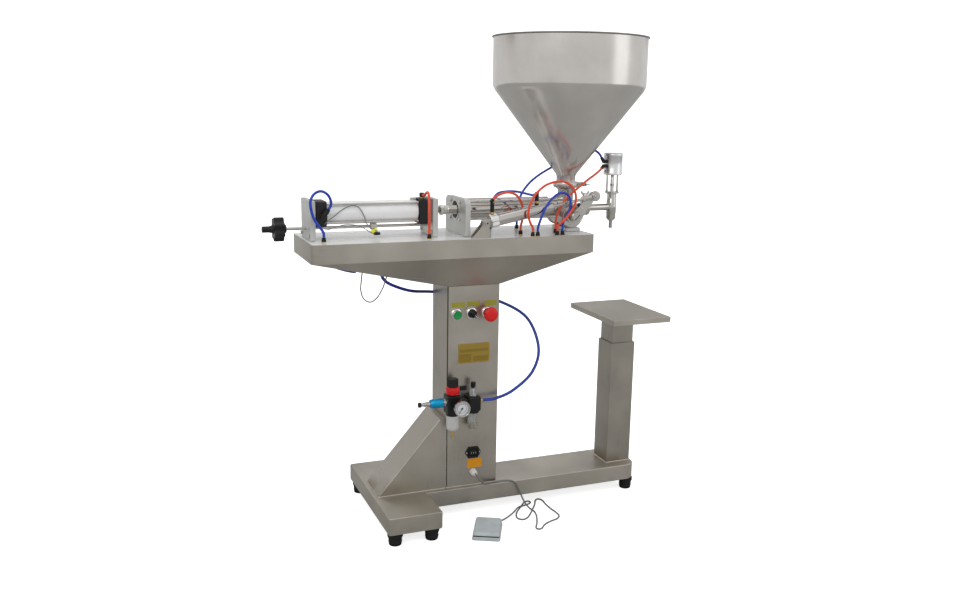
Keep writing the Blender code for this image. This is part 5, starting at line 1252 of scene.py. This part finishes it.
def build_pedal():
    turn = Matrix.Rotation(math.radians(-26.5), 3, "Z")
    at = Vector((-0.0063, -0.2005, 0))
    wide, deep = 0.0375, 0.0525
    body = tapered("pedal_case", at, turn, (wide, deep), (wide - 0.001, deep - 0.001), 0.0, 0.0095, MACHINE)
    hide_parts("pedal_base")
    lid = tapered("pedal_treadle", at, turn, (wide - 0.0012, deep - 0.0012), (wide - 0.004, deep - 0.004),
                  0.013, 0.0219, "pedal")
    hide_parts("pedal_lever")
    # Painted shade: a dark sheet in the gap between the case and the treadle.
    block("pedal_gap_shade", (-wide + 0.004, -deep + 0.004, 0.008), (wide - 0.004, deep - 0.004, 0.0112), INK_AND_SHADE,
          MACHINE, 0.0, at, turn, slot="pedal_plastic")


def tapered(name, at, turn, low_half, high_half, low, high, body):
    """A shallow round-cornered box, smaller at the top."""
    corner = 0.006
    levels = [(rounded((-w, -d), (w, d), corner, 8), z) for (w, d), z in ((low_half, low), (high_half, high))]
    rings = [[at + turn @ Vector((x, y, z)) for x, y in points] for points, z in levels]
    return piece(name, skinned(name, rings), PEDAL, body, 0.0018, 50, 3)


# ---------- studio ----------

def sheet(name, profile, material):
    """A wide strip of paper along X that follows (y, z) points."""
    shape = bmesh.new()
    rows = [[shape.verts.new((x, y, z - 0.0002)) for x in (-9.0, 9.0)] for y, z in profile]
    for first, second in zip(rows, rows[1:]):
        shape.faces.new((first[0], first[1], second[1], second[0]))
    mesh = bpy.data.meshes.new(name)
    shape.to_mesh(mesh)
    shape.free()
    mesh.shade_smooth()
    mesh.materials.append(material)
    obj = bpy.data.objects.new(name, mesh)
    bpy.context.scene.collection.objects.link(obj)
    return obj


def build_studio():
    """White paper curving up behind the machine, a softer grey floor for its reflections, and soft lights."""
    paper, _ = shader_of("studio_paper", (0.93, 0.93, 0.93), 0.9, 0.0, Emission_Color=(1, 1, 1, 1),
                         Emission_Strength=0.72)
    grey, _ = shader_of("studio_floor", (0.56, 0.56, 0.55), 0.9, 0.0)
    curve = [(3.0 + 1.5 * math.sin(math.radians(a)), 1.5 - 1.5 * math.cos(math.radians(a)))
             for a in range(10, 91, 10)]
    seen = sheet("studio_paper", [(-6.0, 0.0), (3.0, 0.0), *curve, (4.5, 7.0)], paper)
    seen.visible_diffuse = False
    seen.visible_glossy = False
    seen.visible_transmission = False
    reflected = sheet("studio_floor", [(-7.0, -0.001), (6.0, -0.001)], grey)
    reflected.visible_camera = False
    dark, _ = shader_of("studio_card", (0.12, 0.12, 0.12), 0.9, 0.0)
    card = sheet("studio_card", [(4.6, 1.9), (4.6, 3.5)], dark)
    card.visible_camera = False
    lights = (("key", (-2.2, -2.6, 3.0), 2.2, 2.2, 26), ("fill", (2.8, -2.0, 1.8), 1.6, 2.6, 8),
              ("top", (0.0, 0.2, 3.6), 3.5, 2.4, 14), ("back", (0.5, 3.0, 2.6), 3.0, 1.6, 6))
    for name, at, wide, tall, power in lights:
        data = bpy.data.lights.new(name, "AREA")
        data.shape = "RECTANGLE"
        data.size = wide
        data.size_y = tall
        data.energy = power
        light = bpy.data.objects.new(name, data)
        bpy.context.scene.collection.objects.link(light)
        light.location = at
        light.rotation_mode = "QUATERNION"
        light.rotation_quaternion = (Vector(at) - Vector((0, 0, 0.75))).to_track_quat("Z", "Y")
    world = bpy.data.worlds.new("studio")
    bpy.context.scene.world = world
    world.use_nodes = True
    world.node_tree.nodes["Background"].inputs["Color"].default_value = (0.8, 0.8, 0.8, 1)
    world.node_tree.nodes["Background"].inputs["Strength"].default_value = 0.95
    bpy.context.scene.view_settings.view_transform = "Standard"


build_camera()
build_lines()
build_base()
build_column()
build_table()
build_platform()
build_air_cylinder()
build_piston_train()
build_product_cylinder()
build_stroke_setting()
build_valve()
build_crank()
build_actuator()
build_hopper()
build_nozzle()
build_controls()
build_air_service()
build_electrics()
build_pedal()
build_studio()
